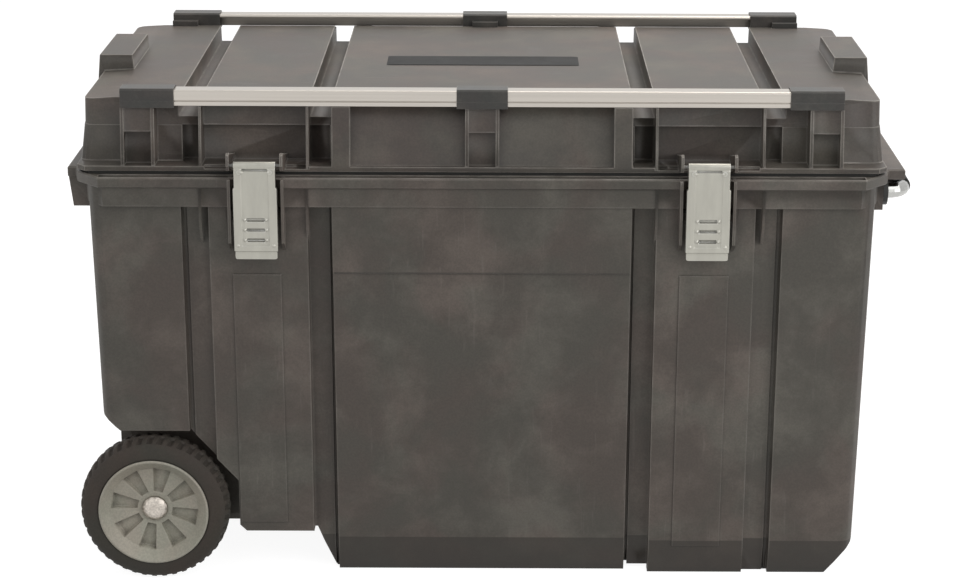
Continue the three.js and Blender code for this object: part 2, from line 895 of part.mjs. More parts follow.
// Lid walls from the flange to the top, one side view outline for each zone along the length
function lidCore() {
  const ring = (height, length, depth) => [height, roundRect(length, depth, lidCorner)];
  const share = lidStepRise / lidRise;
  const stepDepth = lidBaseHalfDepth - (lidBaseHalfDepth - lidTopHalfDepth) * share;
  const upperLength = lidTopHalfLength + (lidStepInset * (1 - share)) / 2;
  return loft([
    ring(flangeBase, flangeHalfLength, lidBaseHalfDepth),
    ring(lidStep, upperLength + lidStepInset, stepDepth + lidStepInset / 2),
    ring(lidStep, upperLength, stepDepth - lidStepInset / 2),
    ring(lidTop, lidTopHalfLength, lidTopHalfDepth),
  ]);
}

function lidFlange() {
  const x = flangeHalfLength;
  const y = flangeHalfDepth;
  const c = flangeCorner;
  const outline = [
    [x, y - c], [x - c, y], [c - x, y], [-x, y - c],
    [-x, c - y], [c - x, -y], [x - c, -y], [x, c - y],
  ];
  return prism(outline, "z", flangeBase, flangeTop);
}

function lidEndBlock(end) {
  const top = lidTop + endBlockRise;
  const outline = [
    [endBlockInnerX - endBlockSlant, lidTop - lidWall],
    [endBlockInnerX, top],
    [endBlockOuterX, top],
    [endBlockFootX, flangeTop],
    [endBlockFootX, flangeBase],
    [endBlockInnerX, flangeBase],
  ];
  return prism(facing(outline, end), "y", -endBlockHalfDepth, endBlockHalfDepth);
}

function lidShoulderCut(end) {
  const far = endBlockFootX + overrun;
  const run = far - shoulderHalfLength;
  const drop = (shoulderDrop * run) / (lidTopHalfLength - shoulderHalfLength);
  const outline = [
    [shoulderHalfLength, lidTop],
    [far, lidTop - drop],
    [far, lidTop + overrun],
    [shoulderHalfLength, lidTop + overrun],
  ];
  const wide = lidBaseHalfDepth + overrun;
  return prism(facing(outline, end), "y", -wide, wide);
}

// Side view outlines of what stands on the lid's long walls, as depth and height
const insideLid = lidTopHalfDepth - 2 * lidWall;
const frameTop = railBase - capSkin - seatGap;
const pocketTop = lidStep - pocketDrop;

function zoneOutline(topDepth, topHeight, foot) {
  return [
    [insideLid, topHeight],
    [topDepth, topHeight],
    [foot, flangeTop],
    [foot, flangeBase],
    [insideLid, flangeBase],
  ];
}

function middleWallOutline() {
  return [
    [insideLid, frameTop],
    [railInner, frameTop],
    [lidBaseHalfDepth + middleKnee, lidStep],
    [flangeHalfDepth - middleFoot, flangeTop],
    [flangeHalfDepth - middleFoot, flangeBase],
    [insideLid, flangeBase],
  ];
}

// A pocket frame under a rail cap or clip: two ribs, a block above and a deep pocket below
function pocketFrame(side, x, top) {
  const front = zoneOutline(railOuter, top, flangeHalfDepth - frameSink / 2);
  const outer = [x - frameHalfWidth, x + frameHalfWidth];
  const inner = [outer[0] + frameRib, outer[1] - frameRib];
  const pane = zoneOutline(railOuter - frameSink, top, flangeHalfDepth - 2 * frameSink);
  const back = zoneOutline(railOuter - framePocket, pocketTop + frameSink, flangeHalfDepth - framePocket);
  const pocket = block(inner, [side * insideLid, side * (flangeHalfDepth + overrun)], [flangeTop, pocketTop]);
  return [
    prism(facing(front, side), "x", outer[0], inner[0]),
    prism(facing(front, side), "x", inner[1], outer[1]),
    cut(prism(facing(pane, side), "x", inner[0] - bite, inner[1] + bite), pocket),
    prism(facing(back, side), "x", inner[0] - bite, inner[1] + bite),
  ];
}

function lidSideDetails(side) {
  const details = [];
  const capMiddle = capOuterX - frameHalfWidth + frameSink / 2;
  const pillar = zoneOutline(railOuter, railBase - seatGap, flangeHalfDepth);
  const fin = zoneOutline(railOuter - railEdge, railBase - frameSink, flangeHalfDepth - frameSink / 3);
  const middle = facing(middleWallOutline(), side);
  details.push(prism(middle, "x", -middleWallHalf - bite, middleWallHalf + bite));
  details.push(...pocketFrame(side, 0, frameTop));
  for (const hand of [-1, 1]) {
    const strip = (from, width) => [hand * from, hand * (from + width)];
    const pillarX = strip(middleWallHalf, pillarWidth);
    details.push(prism(facing(pillar, side), "x", ...pillarX));
    details.push(...pocketFrame(side, hand * capMiddle, frameTop));
    for (const x of [strapInnerX + strapWidth, strapOuterX - finThickness]) {
      details.push(prism(facing(fin, side), "x", ...strip(x, finThickness)));
    }
  }
  return details;
}

// The wall between the two straps of each half, set deep behind the latch
function latchBays(side) {
  const y = [side * latchBayDepth, side * (flangeHalfDepth + overrun)];
  const from = strapInnerX + lidWall / 2;
  const to = strapOuterX + strapWidth - frameRib;
  return [-1, 1].map((hand) => block([hand * from, hand * to], y, [flangeTop, lidStep]));
}

function strapChannels() {
  const wide = flangeHalfDepth + overrun;
  return [strapInnerX, strapOuterX].flatMap((x) =>
    [-1, 1].map((hand) =>
      block([hand * x, hand * (x + strapWidth)], [-wide, wide], [strapFloor, lidTop + overrun]),
    ),
  );
}

// Two ears that hold a latch's pin, sloping down behind it
function latchRibsOnLid(x) {
  const nose = curlRadius + latchRibReach / 3;
  const outline = [
    [latchBayDepth - lidWall / 2, flangeTop + latchRibReach],
    [latchPinDepth - latchEarRun, latchPinHeight + latchEarRise - latchRibReach / 2],
    [latchPinDepth - nose / 2, latchPinHeight + latchEarRise],
    [latchPinDepth + nose / 3, latchPinHeight + latchEarRise - latchRibReach / 3],
    [latchPinDepth + nose * noseShare, latchPinHeight],
    [latchPinDepth + nose / 3, latchPinHeight - nose],
    [flangeHalfDepth, flangeBase],
    [latchBayDepth - lidWall / 2, flangeBase],
  ];
  const inner = latchWidth / 2 + latchRibGap;
  return [-1, 1].map((hand) =>
    prism(facing(outline, -1), "x", x + hand * inner, x + hand * (inner + latchRib)),
  );
}

function latchNotches(x) {
  const half = (strapOuterX - strapInnerX - strapWidth) / 2 - finThickness;
  const y = [-latchNotchDepth, -flangeHalfDepth - overrun];
  return block([x - half, x + half], y, [flangeBase + latchNotchSill, flangeTop + overrun]);
}

function latchPinBores() {
  const half = latchWidth / 2 + latchRibGap + latchRib + overrun;
  return latchSides.map(([, x]) =>
    rod(latchPinRadius + seatGap, "x", x - half, x + half).translate([0, -latchPinDepth, latchPinHeight]),
  );
}

function lidKnuckles() {
  return hingeStations.map((station) => {
    const x = [station - lidKnuckle / 2, station + lidKnuckle / 2];
    const arm = block(x, [flangeHalfDepth - overrun, hingeDepth], [flangeBase, flangeTop]);
    return knuckle(x, arm);
  });
}

function lidCavity() {
  const ring = (height, length, depth) => [height, roundRect(length, depth, lidCorner - lidWall)];
  const ceiling = lidTop - lidWall;
  const half = latchBayDepth - lidWall;
  const open = loft([
    ring(flangeBase - overrun, flangeHalfLength - lidEndWall, half),
    ring(ceiling, lidTopHalfLength - lidEndWall, half - lidWall / 3),
  ]);
  const bulges = [strapInnerX, strapOuterX].flatMap((x) =>
    [-1, 1].map((hand) => {
      const width = [hand * (x - lidWall), hand * (x + strapWidth + lidWall)];
      return block(width, [-lidBaseHalfDepth, lidBaseHalfDepth], [strapFloor - lidWall, lidTop]);
    }),
  );
  const blocks = [-1, 1].map((end) => {
    const top = lidTop + endBlockRise - lidWall;
    const outline = [
      [endBlockInnerX + lidWall / 2, lidTop - 2 * lidWall],
      [endBlockInnerX + lidWall, top],
      [endBlockOuterX - lidWall, top],
      [endBlockFootX - lidEndWall, flangeTop],
      [endBlockFootX - lidEndWall, flangeBase - overrun],
      [endBlockInnerX + lidWall / 2, flangeBase - overrun],
    ];
    const wide = endBlockHalfDepth - lidWall;
    return prism(facing(outline, end), "y", -wide, wide);
  });
  return join(cut(open, bulges), blocks);
}

// Shallow seats in the lid's top that the feet of the caps and clips stand in
function clipSeats(side) {
  const inner = railInner - capSkin - clipFootDepth - seatGap;
  const y = [side * inner, side * (lidTopHalfDepth + overrun)];
  const z = [lidTop - clipSeatDepth, lidTop + overrun];
  const capFoot = [capOuterX - 2 * clipFootHalf - seatGap, capOuterX + seatGap];
  return [
    block([-clipFootHalf - seatGap, clipFootHalf + seatGap], y, z),
    block(capFoot, y, z),
    block(capFoot.map((x) => -x), y, z),
  ];
}

function makeLid() {
  let body = cut(lidCore(), lidShoulderCut(-1), lidShoulderCut(1));
  body = join(body, lidFlange(), lidEndBlock(-1), lidEndBlock(1));
  body = cut(body, latchBays(-1), latchBays(1));
  body = cut(body, latchSides.map(([, x]) => latchNotches(x)));
  body = join(body, lidSideDetails(-1), lidSideDetails(1), lidKnuckles());
  body = join(body, latchSides.flatMap(([, x]) => latchRibsOnLid(x)));
  const seats = [clipSeats(-1), clipSeats(1)].flat();
  return cut(body, strapChannels(), seats, lidCavity(), latchPinBores(), hingeBores());
}

function makeSeal() {
  const outerX = flangeHalfLength - flangeCorner;
  const outerY = flangeHalfDepth - seatGap;
  const ring = (inset) => roundRect(outerX - inset, outerY - inset, flangeCorner - inset);
  const low = rimTop + seatGap;
  const high = low + sealThickness;
  const outer = loft([[low, ring(0)], [high, ring(0)]]);
  const inner = loft([[low - overrun, ring(sealWidth)], [high + overrun, ring(sealWidth)]]);
  return cut(outer, inner);
}

// Outline of a rail's section, with a groove above a lip along its outer face
function railSection(grow, side) {
  const inner = railInner - grow;
  const outer = railOuter + grow;
  const base = railBase - grow;
  const top = railTop + grow;
  const edge = railEdge;
  const lipTop = railBase + railLip + grow;
  const grooveTop = railBase + railLip + railGroove - grow;
  const outline = [
    [inner, base], [outer, base],
    [outer, lipTop], [outer - railGroove, lipTop],
    [outer - railGroove, grooveTop], [outer, grooveTop],
    [outer, top - edge], [outer - edge, top],
    [inner + edge, top], [inner, top - edge],
  ];
  return facing(outline, side);
}

// A rail is a hooked section: a top, a deep outer leg and a short inner leg
function makeRail(side) {
  const bar = prism(railSection(0, side), "x", -railHalfLength, railHalfLength);
  const run = [-railHalfLength - overrun, railHalfLength + overrun];
  const outer = side * (railOuter - railWall - railGroove);
  const hollow = block(run, [side * (railInner + railWall), outer], [railBase - overrun, railTop - railWall]);
  const opening = block(
    run,
    [side * (railInner - overrun), side * (railInner + railWall + bite)],
    [railBase - overrun, railTop - railWall - railEdge],
  );
  return cut(bar, hollow, opening);
}

// A moulded piece that wraps the rail, with a ledge along its outer face and a foot on the lid
function railWrap(side, x, footX) {
  const inner = railInner - capSkin;
  const outer = railOuter + capSkin;
  const base = railBase - capSkin;
  const top = railTop + capSkin;
  const ledge = capSkin / 2;
  const outline = [
    [inner, base], [outer + ledge, base],
    [outer + ledge, base + capLedge], [outer, base + capLedge + ledge],
    [outer, top - capSkin], [outer - capSkin, top],
    [inner + capSkin, top], [inner, top - capSkin],
  ];
  const foot = block(
    footX,
    [side * (inner - clipFootDepth), side * (inner + ledge)],
    [lidTop - clipSeatDepth + seatGap, lidTop + clipFootHeight],
  );
  return join(prism(facing(outline, side), "x", x[0], x[1]), foot);
}

function makeCap(side, hand) {
  const footX = [hand * (capOuterX - 2 * clipFootHalf), hand * capOuterX];
  const body = railWrap(side, [hand * capInnerX, hand * capOuterX], footX);
  const hole = [hand * (capInnerX - overrun), hand * (railHalfLength + seatGap)];
  return cut(body, prism(railSection(seatGap, side), "x", hole[0], hole[1]));
}

function makeClip(side) {
  const body = railWrap(side, [-clipHalf, clipHalf], [-clipFootHalf, clipFootHalf]);
  return cut(body, prism(railSection(seatGap, side), "x", -clipHalf - overrun, clipHalf + overrun));
}

// Latch plate hanging from its pin: a curl, a sheet with raised borders, side flanges,
// three louvres and a stepped lip to pull
function makeLatchPlate(x) {
  const half = latchWidth / 2;
  const front = latchPlateFront;
  const back = latchPlateBack;
  const foot = latchPinHeight - plateDrop;
  const lipTop = foot + lipHeight;
  const narrow = half - lipInset;
  const shoulder = latchPinHeight - plateShoulderDrop;
  const curl = rod(curlRadius, "x", x - narrow, x + narrow).translate([0, -latchPinDepth, latchPinHeight]);
  const sheet = block([x - narrow, x + narrow], [-back, -front], [lipTop - lipStep, latchPinHeight]);
  const wide = block([x - half, x + half], [-back, -front], [lipTop, shoulder]);
  const lip = [
    [back, lipTop], [front, lipTop], [front + lipStep, lipTop - lipStep],
    [front + lipStep, foot], [back + lipStep, foot], [back + lipStep, lipTop - lipStep],
  ];
  const borderTop = latchRivetHeight - rivetHead - seatGap;
  const borders = [-1, 1].map((hand) => {
    const out = x + hand * (narrow - borderProud);
    const width = [out, out - hand * plateBorder];
    return block(width, [-back, -front - borderProud], [lipTop + lipStep, borderTop]);
  });
  const flanges = [-1, 1].map((hand) => {
    const out = x + hand * half;
    return block([out, out - hand * plateThickness], [plateFlange - back, -front], [lipTop, shoulder]);
  });
  const louvres = Array.from({ length: louvreCount }, (_, i) => {
    const z = latchPinHeight - louvreDrop - i * louvreSpacing;
    const wedge = [
      [back, z + louvreHeight], [front + louvreProud, z + louvreHeight],
      [front, z], [back, z],
    ];
    return prism(facing(wedge, -1), "x", x - louvreWidth / 2, x + louvreWidth / 2);
  });
  const lipPiece = prism(facing(lip, -1), "x", x - narrow, x + narrow);
  const plate = join(curl, sheet, wide, lipPiece, borders, flanges, louvres);
  const bore = rod(latchPinRadius + runGap, "x", x - half - overrun, x + half + overrun);
  return cut(plate, bore.translate([0, -latchPinDepth, latchPinHeight]), latchRivetHoles(x));
}

// Spring-steel hook riveted behind the plate; its nose bears on the catch bar's face
function makeLatchHook(x) {
  const back = latchPlateBack - seatGap;
  const inner = back - hookThickness;
  const headTop = latchPinHeight - curlRadius - seatGap;
  const catchFace = tubHalfDepth + catchReach + seatGap;
  const barBase = collarBase - catchDrop - catchHeight;
  const noseBase = barBase - catchHeight / 2;
  const headWidth = [x - hookHeadHalf, x + hookHeadHalf];
  const head = block(headWidth, [-inner, -back], [headTop - hookHeadHeight, headTop]);
  const strip = block([x - hookHalf, x + hookHalf], [-inner, -back], [barBase, headTop]);
  const nose = [
    [back, barBase + hookThickness], [back, barBase - hookThickness],
    [catchFace + hookThickness, noseBase - hookThickness], [catchFace, noseBase],
    [catchFace, noseBase + hookThickness], [inner, barBase + hookThickness],
  ];
  const hook = join(head, strip, prism(facing(nose, -1), "x", x - hookHalf, x + hookHalf));
  return cut(hook, latchRivetHoles(x));
}

function latchRivetHoles(x) {
  return [-1, 1].map((hand) => {
    const hole = rod(rivetRadius + seatGap, "y", -latchPlateFront - overrun, overrun - latchPlateBack);
    return hole.translate([x + hand * rivetX, 0, latchRivetHeight]);
  });
}

// Rivet with a head in front of the plate and a formed tail behind the hook
function makeLatchRivet(x) {
  const headSeat = latchPlateFront + seatGap;
  const tailSeat = latchPlateBack - seatGap - hookThickness - seatGap;
  const shank = rod(rivetRadius, "y", -headSeat - rivetHeadHeight / 2, rivetHeadHeight / 2 - tailSeat);
  const head = rod(rivetHead, "y", -headSeat - rivetHeadHeight, -headSeat);
  const tail = rod(rivetHead, "y", -tailSeat, rivetHeadHeight - tailSeat);
  return join(shank, head, tail).translate([x, 0, latchRivetHeight]);
}

function makeLatchPin(x) {
  const half = latchWidth / 2 + latchRibGap + latchRib;
  return rod(latchPinRadius, "x", x - half, x + half).translate([0, -latchPinDepth, latchPinHeight]);
}

function makeHingePin(x) {
  const half = lidKnuckle / 2 + tubKnuckle;
  return rod(hingePinRadius, "x", x - half, x + half).translate([0, hingeDepth, hingeHeight]);
}

// Tyre: a ring with rounded shoulders and a row of lugs round its crown
function makeTyre(side) {
  const outer = side * wheelFaceDepth;
  const inner = side * (wheelFaceDepth - wheelWidth);
  const along = (share) => outer + (inner - outer) * share;
  const tread = treadSetback / wheelWidth;
  const root = wheelRadius - treadDepth;
  const crown = root - treadShoulder;
  const bore = hubRadius + seatGap;
  const half = [
    [bore, sidewallShare], [bore + treadDepth, 0], [crown - treadDepth, shoulderShare],
    [crown, tread / 2], [root, tread],
  ];
  const far = [...half].reverse().map(([radius, share]) => [radius, 1 - share]);
  const ring = [...half, ...far, half[0]].map(([radius, share]) => [radius, along(share)]);
  const body = turned(side < 0 ? ring : [...ring].reverse(), "y", wheelSides);
  const lugs = treadRing(along(tread), along(1 - tread), crown - treadShoulder);
  return join(body, lugs).translate([wheelX, 0, wheelRadius]);
}

function treadRing(from, to, bore) {
  const pitch = (2 * Math.PI) / treadLugCount;
  const root = wheelRadius - treadDepth;
  const outline = [];
  for (let lug = 0; lug < treadLugCount; lug++) {
    const start = lug * pitch;
    const stop = start + pitch * treadLugShare;
    const corners = [[wheelRadius, start], [wheelRadius, stop], [root, stop], [root, start + pitch]];
    for (const [radius, angle] of corners) {
      outline.push([radius * Math.cos(angle), radius * Math.sin(angle)]);
    }
  }
  const low = Math.min(from, to) - overrun;
  const high = Math.max(from, to) + overrun;
  return cut(prism(outline, "y", from, to), rod(bore, "y", low, high, wheelSides));
}

// Hub: a rim ring, a dished web with pockets between its spokes, and a boss for the axle
function makeHub(side) {
  const at = (depth) => side * (hubFace - depth);
  const shoulder = hubRadius - hubShoulder;
  const inside = hubRadius - hubRimThickness;
  const bore = axleRadius + runGap;
  const ring = [
    [bore, at(hubDish)], [hubBossRadius, at(hubDish)], [shoulder, at(hubShoulderDepth)],
    [hubRadius - hubLip, at(0)], [hubRadius, at(0)],
    [hubRadius, at(hubRimWidth)], [inside, at(hubRimWidth)],
    [inside, at(hubShoulderDepth + hubWebThickness)], [hubBossRadius, at(hubDish + hubWebThickness)],
    [hubBossRadius, at(hubRimWidth)], [bore, at(hubRimWidth)], [bore, at(hubDish)],
  ];
  const body = turned(side < 0 ? ring : [...ring].reverse(), "y", wheelSides);
  const pockets = Array.from({ length: pocketCount }, (_, i) => {
    const angle = (i * 2 * Math.PI) / pocketCount + (pocketTurnAngle * Math.PI) / 180;
    return hubPocket(angle, at(-overrun), at(hubDish + pocketDepth));
  });
  return cut(body, pockets).translate([wheelX, 0, wheelRadius]);
}

function hubPocket(angle, from, to) {
  const inner = hubBossRadius + pocketInset;
  const outer = hubRadius - hubShoulder;
  const corners = [
    [inner, -pocketInnerHalf], [outer, -pocketOuterHalf],
    [outer + pocketInset / 2, 0], [outer, pocketOuterHalf], [inner, pocketInnerHalf],
  ];
  const outline = corners.map(([r, t]) => [
    r * Math.cos(angle) - t * Math.sin(angle),
    r * Math.sin(angle) + t * Math.cos(angle),
  ]);
  return prism(outline, "y", from, to);
}

function makeAxle() {
  return rod(axleRadius, "y", -axleHalf, axleHalf).translate([wheelX, 0, wheelRadius]);
}

// Domed push-on cap over the end of the axle
function makeAxleCap(side) {
  const at = (reach) => side * (hubBossFace + seatGap + reach);
  const socket = axleReach + seatGap;
  const bore = axleRadius + seatGap;
  const dome = [
    [0, at(socket)], [bore, at(socket)], [bore, at(0)], [axleCapRadius, at(0)],
    [axleCapRadius, at(axleCapSkin)], [axleCapRadius - axleCapSkin / 2, at(axleCapHeight - axleCapSkin)],
    [axleCapRadius / 2, at(axleCapHeight)], [0, at(axleCapHeight)],
  ];
  const profile = side < 0 ? [...dome].reverse() : dome;
  return turned(profile, "y").translate([wheelX, 0, wheelRadius]);
}

function makeWasher(side) {
  const from = wellHalfDepth + seatGap;
  const to = hubFace - hubRimWidth - seatGap;
  return pipe(axleRadius + seatGap, washerRadius, "y", ...(side > 0 ? [from, to] : [-to, -from]))
    .translate([wheelX, 0, wheelRadius]);
}

// Round bar along a flat path at one height, with a ring of points at each corner
function barAlong(path, radius, height) {
  const rings = path.map(([x, y], i) => {
    const before = path[Math.max(i - 1, 0)];
    const after = path[Math.min(i + 1, path.length - 1)];
    const heading = Math.atan2(after[1] - before[1], after[0] - before[0]);
    return Array.from({ length: tubeSides }, (_, side) => {
      const angle = (2 * Math.PI * side) / tubeSides;
      const out = radius * Math.cos(angle);
      return [x - out * Math.sin(heading), y + out * Math.cos(heading), height + radius * Math.sin(angle)];
    });
  });
  const faces = [];
  for (let ring = 0; ring + 1 < rings.length; ring++) {
    for (let side = 0; side < tubeSides; side++) {
      const next = (side + 1) % tubeSides;
      const low = ring * tubeSides;
      const high = low + tubeSides;
      faces.push(low + side, low + next, high + next, low + side, high + next, high + side);
    }
  }
  const last = (rings.length - 1) * tubeSides;
  for (let side = 1; side + 1 < tubeSides; side++) {
    faces.push(0, side + 1, side, last, last + side, last + side + 1);
  }
  const geometry = new THREE.BufferGeometry();
  geometry.setAttribute("position", new THREE.BufferAttribute(new Float32Array(rings.flat(2)), 3));
  geometry.setIndex(faces);
  return solidFrom(geometry);
}

// Chromed U-shaped tube: two arms that slide in the sleeves and a cross bar, with stops inside
function makeHandleTube() {
  const centreX = handleBarX - elbowRadius;
  const centreY = tubeDepth - elbowRadius;
  const elbow = (side) =>
    Array.from({ length: elbowSteps + 1 }, (_, step) => {
      const angle = ((step / elbowSteps) * Math.PI) / 2;
      return [centreX + elbowRadius * Math.sin(angle), side * (centreY + elbowRadius * Math.cos(angle))];
    });
  const path = [
    [tubeInnerX, -tubeDepth],
    ...elbow(-1),
    ...elbow(1).reverse(),
    [tubeInnerX, tubeDepth],
  ];
  const stops = [-1, 1].map((side) => {
    const stop = rod(stopRadius, "x", tubeInnerX, tubeInnerX + stopLength);
    return stop.translate([0, side * tubeDepth, tubeHeight]);
  });
  return join(barAlong(path, tubeRadius, tubeHeight), stops);
}

function makeHandleGrip() {
  const bore = tubeRadius + seatGap;
  const waist = gripHalf * gripWaistShare;
  const profile = [
    [bore, -gripHalf], [gripRadius - gripWaist, -gripHalf], [gripRadius, -waist],
    [gripRadius, waist], [gripRadius - gripWaist, gripHalf], [bore, gripHalf], [bore, -gripHalf],
  ];
  return turned(profile, "y").translate([handleBarX, 0, tubeHeight]);
}

function makeSleeve(side) {
  const inner = stopRadius + runGap;
  const outer = sleeveRadius;
  const end = tubHalfLength - tubWall / 2;
  return pipe(inner, outer, "x", sleeveInnerX, end).translate([0, side * tubeDepth, tubeHeight]);
}

function makeBushing(side) {
  const bore = tubeRadius + runGap;
  const start = tubHalfLength - tubWall / 2 + seatGap;
  const face = guideBlockX + seatGap;
  const profile = [
    [bore, start], [sleeveRadius, start], [sleeveRadius, face], [bushingFlangeRadius, face],
    [bushingFlangeRadius, face + bushingFlange], [bore, face + bushingFlange], [bore, start],
  ];
  return turned(profile, "x").translate([0, side * tubeDepth, tubeHeight]);
}

function finish(color, roughness, metalness) {
  return new THREE.MeshStandardMaterial({ color, roughness, metalness });
}

const box = new THREE.Group();
const model = new THREE.Group();
box.add(model);

function place(name, solid, material) {
  model.add(meshFrom(name, solid, material));
}

place("tub", makeTub(), finish(0x57534d, 0.6, 0));
place("lid", makeLid(), finish(0x6b655e, 0.6, 0));
place("lid_seal", makeSeal(), finish(0x151515, 0.9, 0));

for (const [end, side] of ends) {
  place(`rail_${end}`, makeRail(side), finish(0xc9c3bc, 0.35, 0.9));
  place(`rail_clip_${end}`, makeClip(side), finish(0x484a47, 0.6, 0));
  place(`rail_cap_${end}_left`, makeCap(side, -1), finish(0x484a47, 0.6, 0));
  place(`rail_cap_${end}_right`, makeCap(side, 1), finish(0x484a47, 0.6, 0));
  place(`tyre_${end}`, makeTyre(side), finish(0x3a3833, 0.85, 0));
  place(`hub_${end}`, makeHub(side), finish(0x8c8c82, 0.55, 0));
  place(`axle_cap_${end}`, makeAxleCap(side), finish(0xc8c8c4, 0.25, 1));
  place(`axle_washer_${end}`, makeWasher(side), finish(0x9a9a96, 0.4, 0.9));
  place(`handle_sleeve_${end}`, makeSleeve(side), finish(0x2a2a29, 0.7, 0));
  place(`handle_bushing_${end}`, makeBushing(side), finish(0x2a2a29, 0.6, 0));
}

for (const [hand, x] of latchSides) {
  place(`latch_plate_${hand}`, makeLatchPlate(x), finish(0xaaaaa2, 0.4, 0.8));
  place(`latch_pin_${hand}`, makeLatchPin(x), finish(0x9a9a96, 0.35, 0.9));
  place(`latch_hook_${hand}`, makeLatchHook(x), finish(0x8e8e8a, 0.4, 0.9));
  place(`latch_rivet_${hand}_a`, makeLatchRivet(x - rivetX), finish(0xb8b8b2, 0.35, 0.9));
  place(`latch_rivet_${hand}_b`, makeLatchRivet(x + rivetX), finish(0xb8b8b2, 0.35, 0.9));
}

["left", "middle", "right"].forEach((name, i) => {
  place(`hinge_pin_${name}`, makeHingePin(hingeStations[i]), finish(0x9a9a96, 0.35, 0.9));
});

place("axle", makeAxle(), finish(0x9a9a96, 0.35, 0.9));
place("handle_tube", makeHandleTube(), finish(0xcfcfcb, 0.15, 1));
place("handle_grip", makeHandleGrip(), finish(0x262625, 0.8, 0));

// The origin is on the floor under the middle of the whole part
const reach = new THREE.Box3().setFromObject(model);
const middle = reach.getCenter(new THREE.Vector3());
model.position.set(-middle.x, -middle.y, -reach.min.z);

export default box;
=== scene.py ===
"""Looks of a wheeled jobsite storage box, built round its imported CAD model.

Metres, +X towards the tow handle, +Y towards the lid's hinges, +Z up. The origin is on the floor under the middle.
"""

import math

import bmesh
import bpy
import numpy as np
from mathutils import Matrix, Vector


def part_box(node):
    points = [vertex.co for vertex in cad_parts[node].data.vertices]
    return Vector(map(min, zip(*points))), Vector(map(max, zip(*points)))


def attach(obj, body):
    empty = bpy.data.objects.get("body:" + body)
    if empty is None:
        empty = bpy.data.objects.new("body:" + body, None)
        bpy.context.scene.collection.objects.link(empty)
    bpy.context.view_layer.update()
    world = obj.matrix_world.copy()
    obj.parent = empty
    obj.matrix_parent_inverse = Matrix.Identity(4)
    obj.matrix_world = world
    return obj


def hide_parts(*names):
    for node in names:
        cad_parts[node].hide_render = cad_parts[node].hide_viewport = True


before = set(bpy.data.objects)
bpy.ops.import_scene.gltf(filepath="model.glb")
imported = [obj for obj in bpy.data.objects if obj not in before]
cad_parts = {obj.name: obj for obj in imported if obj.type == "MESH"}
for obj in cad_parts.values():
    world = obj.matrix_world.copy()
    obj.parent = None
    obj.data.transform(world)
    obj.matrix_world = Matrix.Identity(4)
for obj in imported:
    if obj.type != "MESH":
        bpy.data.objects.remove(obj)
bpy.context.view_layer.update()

MM = 0.001

# The photograph's frame and the camera that fits it
PHOTO_WIDTH = 980
SENSOR_WIDTH = 36.0
FOCAL_PIXELS = 2350
AXIS_RIGHT_PIXELS = 9
CAMERA_PLACE = (0.0085, -2.9364, 1.2073)
CAMERA_DOWN = math.radians(17.46)
CAMERA_ROLL = math.radians(0.23)

# Finishes, as 8-bit display colours
TUB_COLOUR = (82, 77, 72)
TUB_HAZE = (116, 110, 104)
# The lid's plastic is the tub's made a shade darker, painted shade for the shadow that the rails cast on the lid's
# walls
LID_COLOUR = (78, 73, 69)
LID_HAZE = (108, 101, 94)
# Pale scuffs and rubs, and the pale edges that are partly rubbed and partly painted highlight
RUB_AND_HIGHLIGHT_COLOUR = (156, 151, 144)
# Painted shade laid into hollows, grooves and recesses
PAINTED_SHADE_COLOUR = (30, 29, 27)
# Painted shade along the tub's foot and under the crease of the long walls' middle panels
FOOT_AND_CREASE_SHADE = (44, 40, 35)
WARM_TINT = (255, 236, 228)
COOL_TINT = (232, 243, 232)
CAP_COLOUR = (60, 59, 57)
TYRE_COLOUR = (62, 58, 53)
TYRE_HAZE = (78, 72, 66)
# Pale tyre edges: partly rubbed rubber and partly painted highlight
TYRE_EDGE = (108, 102, 95)
HUB_COLOUR = (178, 174, 161)
HUB_HAZE = (194, 190, 177)
BLACK_PLASTIC = (40, 40, 39)
RUBBER = (34, 34, 33)
STRIP_COLOUR = (15, 14, 13)
ALUMINIUM = (190, 184, 176)
ZINC = (170, 168, 159)
STEEL = (100, 99, 96)
# Pale edges of the latches: partly rubbed zinc and partly painted highlight
RUBBED_ZINC_AND_HIGHLIGHT = (206, 206, 203)
HANDLE_CHROME = (178, 178, 175)
FLOOR_COLOUR = (158, 158, 158)
CAP_ZINC = (206, 198, 188)


def linear(colour):
    """An 8-bit display colour as the linear RGBA that Blender's sockets take."""
    share = np.array(colour, float) / 255
    low = share / 12.92
    high = ((share + 0.055) / 1.055) ** 2.4
    return (*np.where(share <= 0.04045, low, high).tolist(), 1.0)


def put(tree, kind, inputs=None, **settings):
    """A node with its settings, whose inputs are linked where a socket is given and set where a value is."""
    made = tree.nodes.new(kind)
    for key, value in settings.items():
        setattr(made, key, value)
    for key, value in (inputs or {}).items():
        if isinstance(value, bpy.types.NodeSocket):
            tree.links.new(value, made.inputs[key])
        else:
            made.inputs[key].default_value = value
    return made


def mixed(tree, factor, first, second):
    """The colour between two colours."""
    made = put(tree, "ShaderNodeMix", {0: factor, 6: first, 7: second}, data_type="RGBA")
    return made.outputs[2]


def calculated(tree, operation, first, second=0.0):
    return put(tree, "ShaderNodeMath", {0: first, 1: second}, operation=operation).outputs[0]


def ranged(tree, value, low, high, to_low=0.0, to_high=1.0):
    """A value carried from one range to another with soft ends."""
    span = {"Value": value, 1: low, 2: high, 3: to_low, 4: to_high}
    return put(tree, "ShaderNodeMapRange", span, interpolation_type="SMOOTHSTEP").outputs[0]


def noise(tree, place, scale, detail=4.0, roughness=0.5, distortion=0.0):
    inputs = {"Vector": place, "Scale": scale, "Detail": detail, "Roughness": roughness, "Distortion": distortion}
    return put(tree, "ShaderNodeTexNoise", inputs).outputs["Fac"]


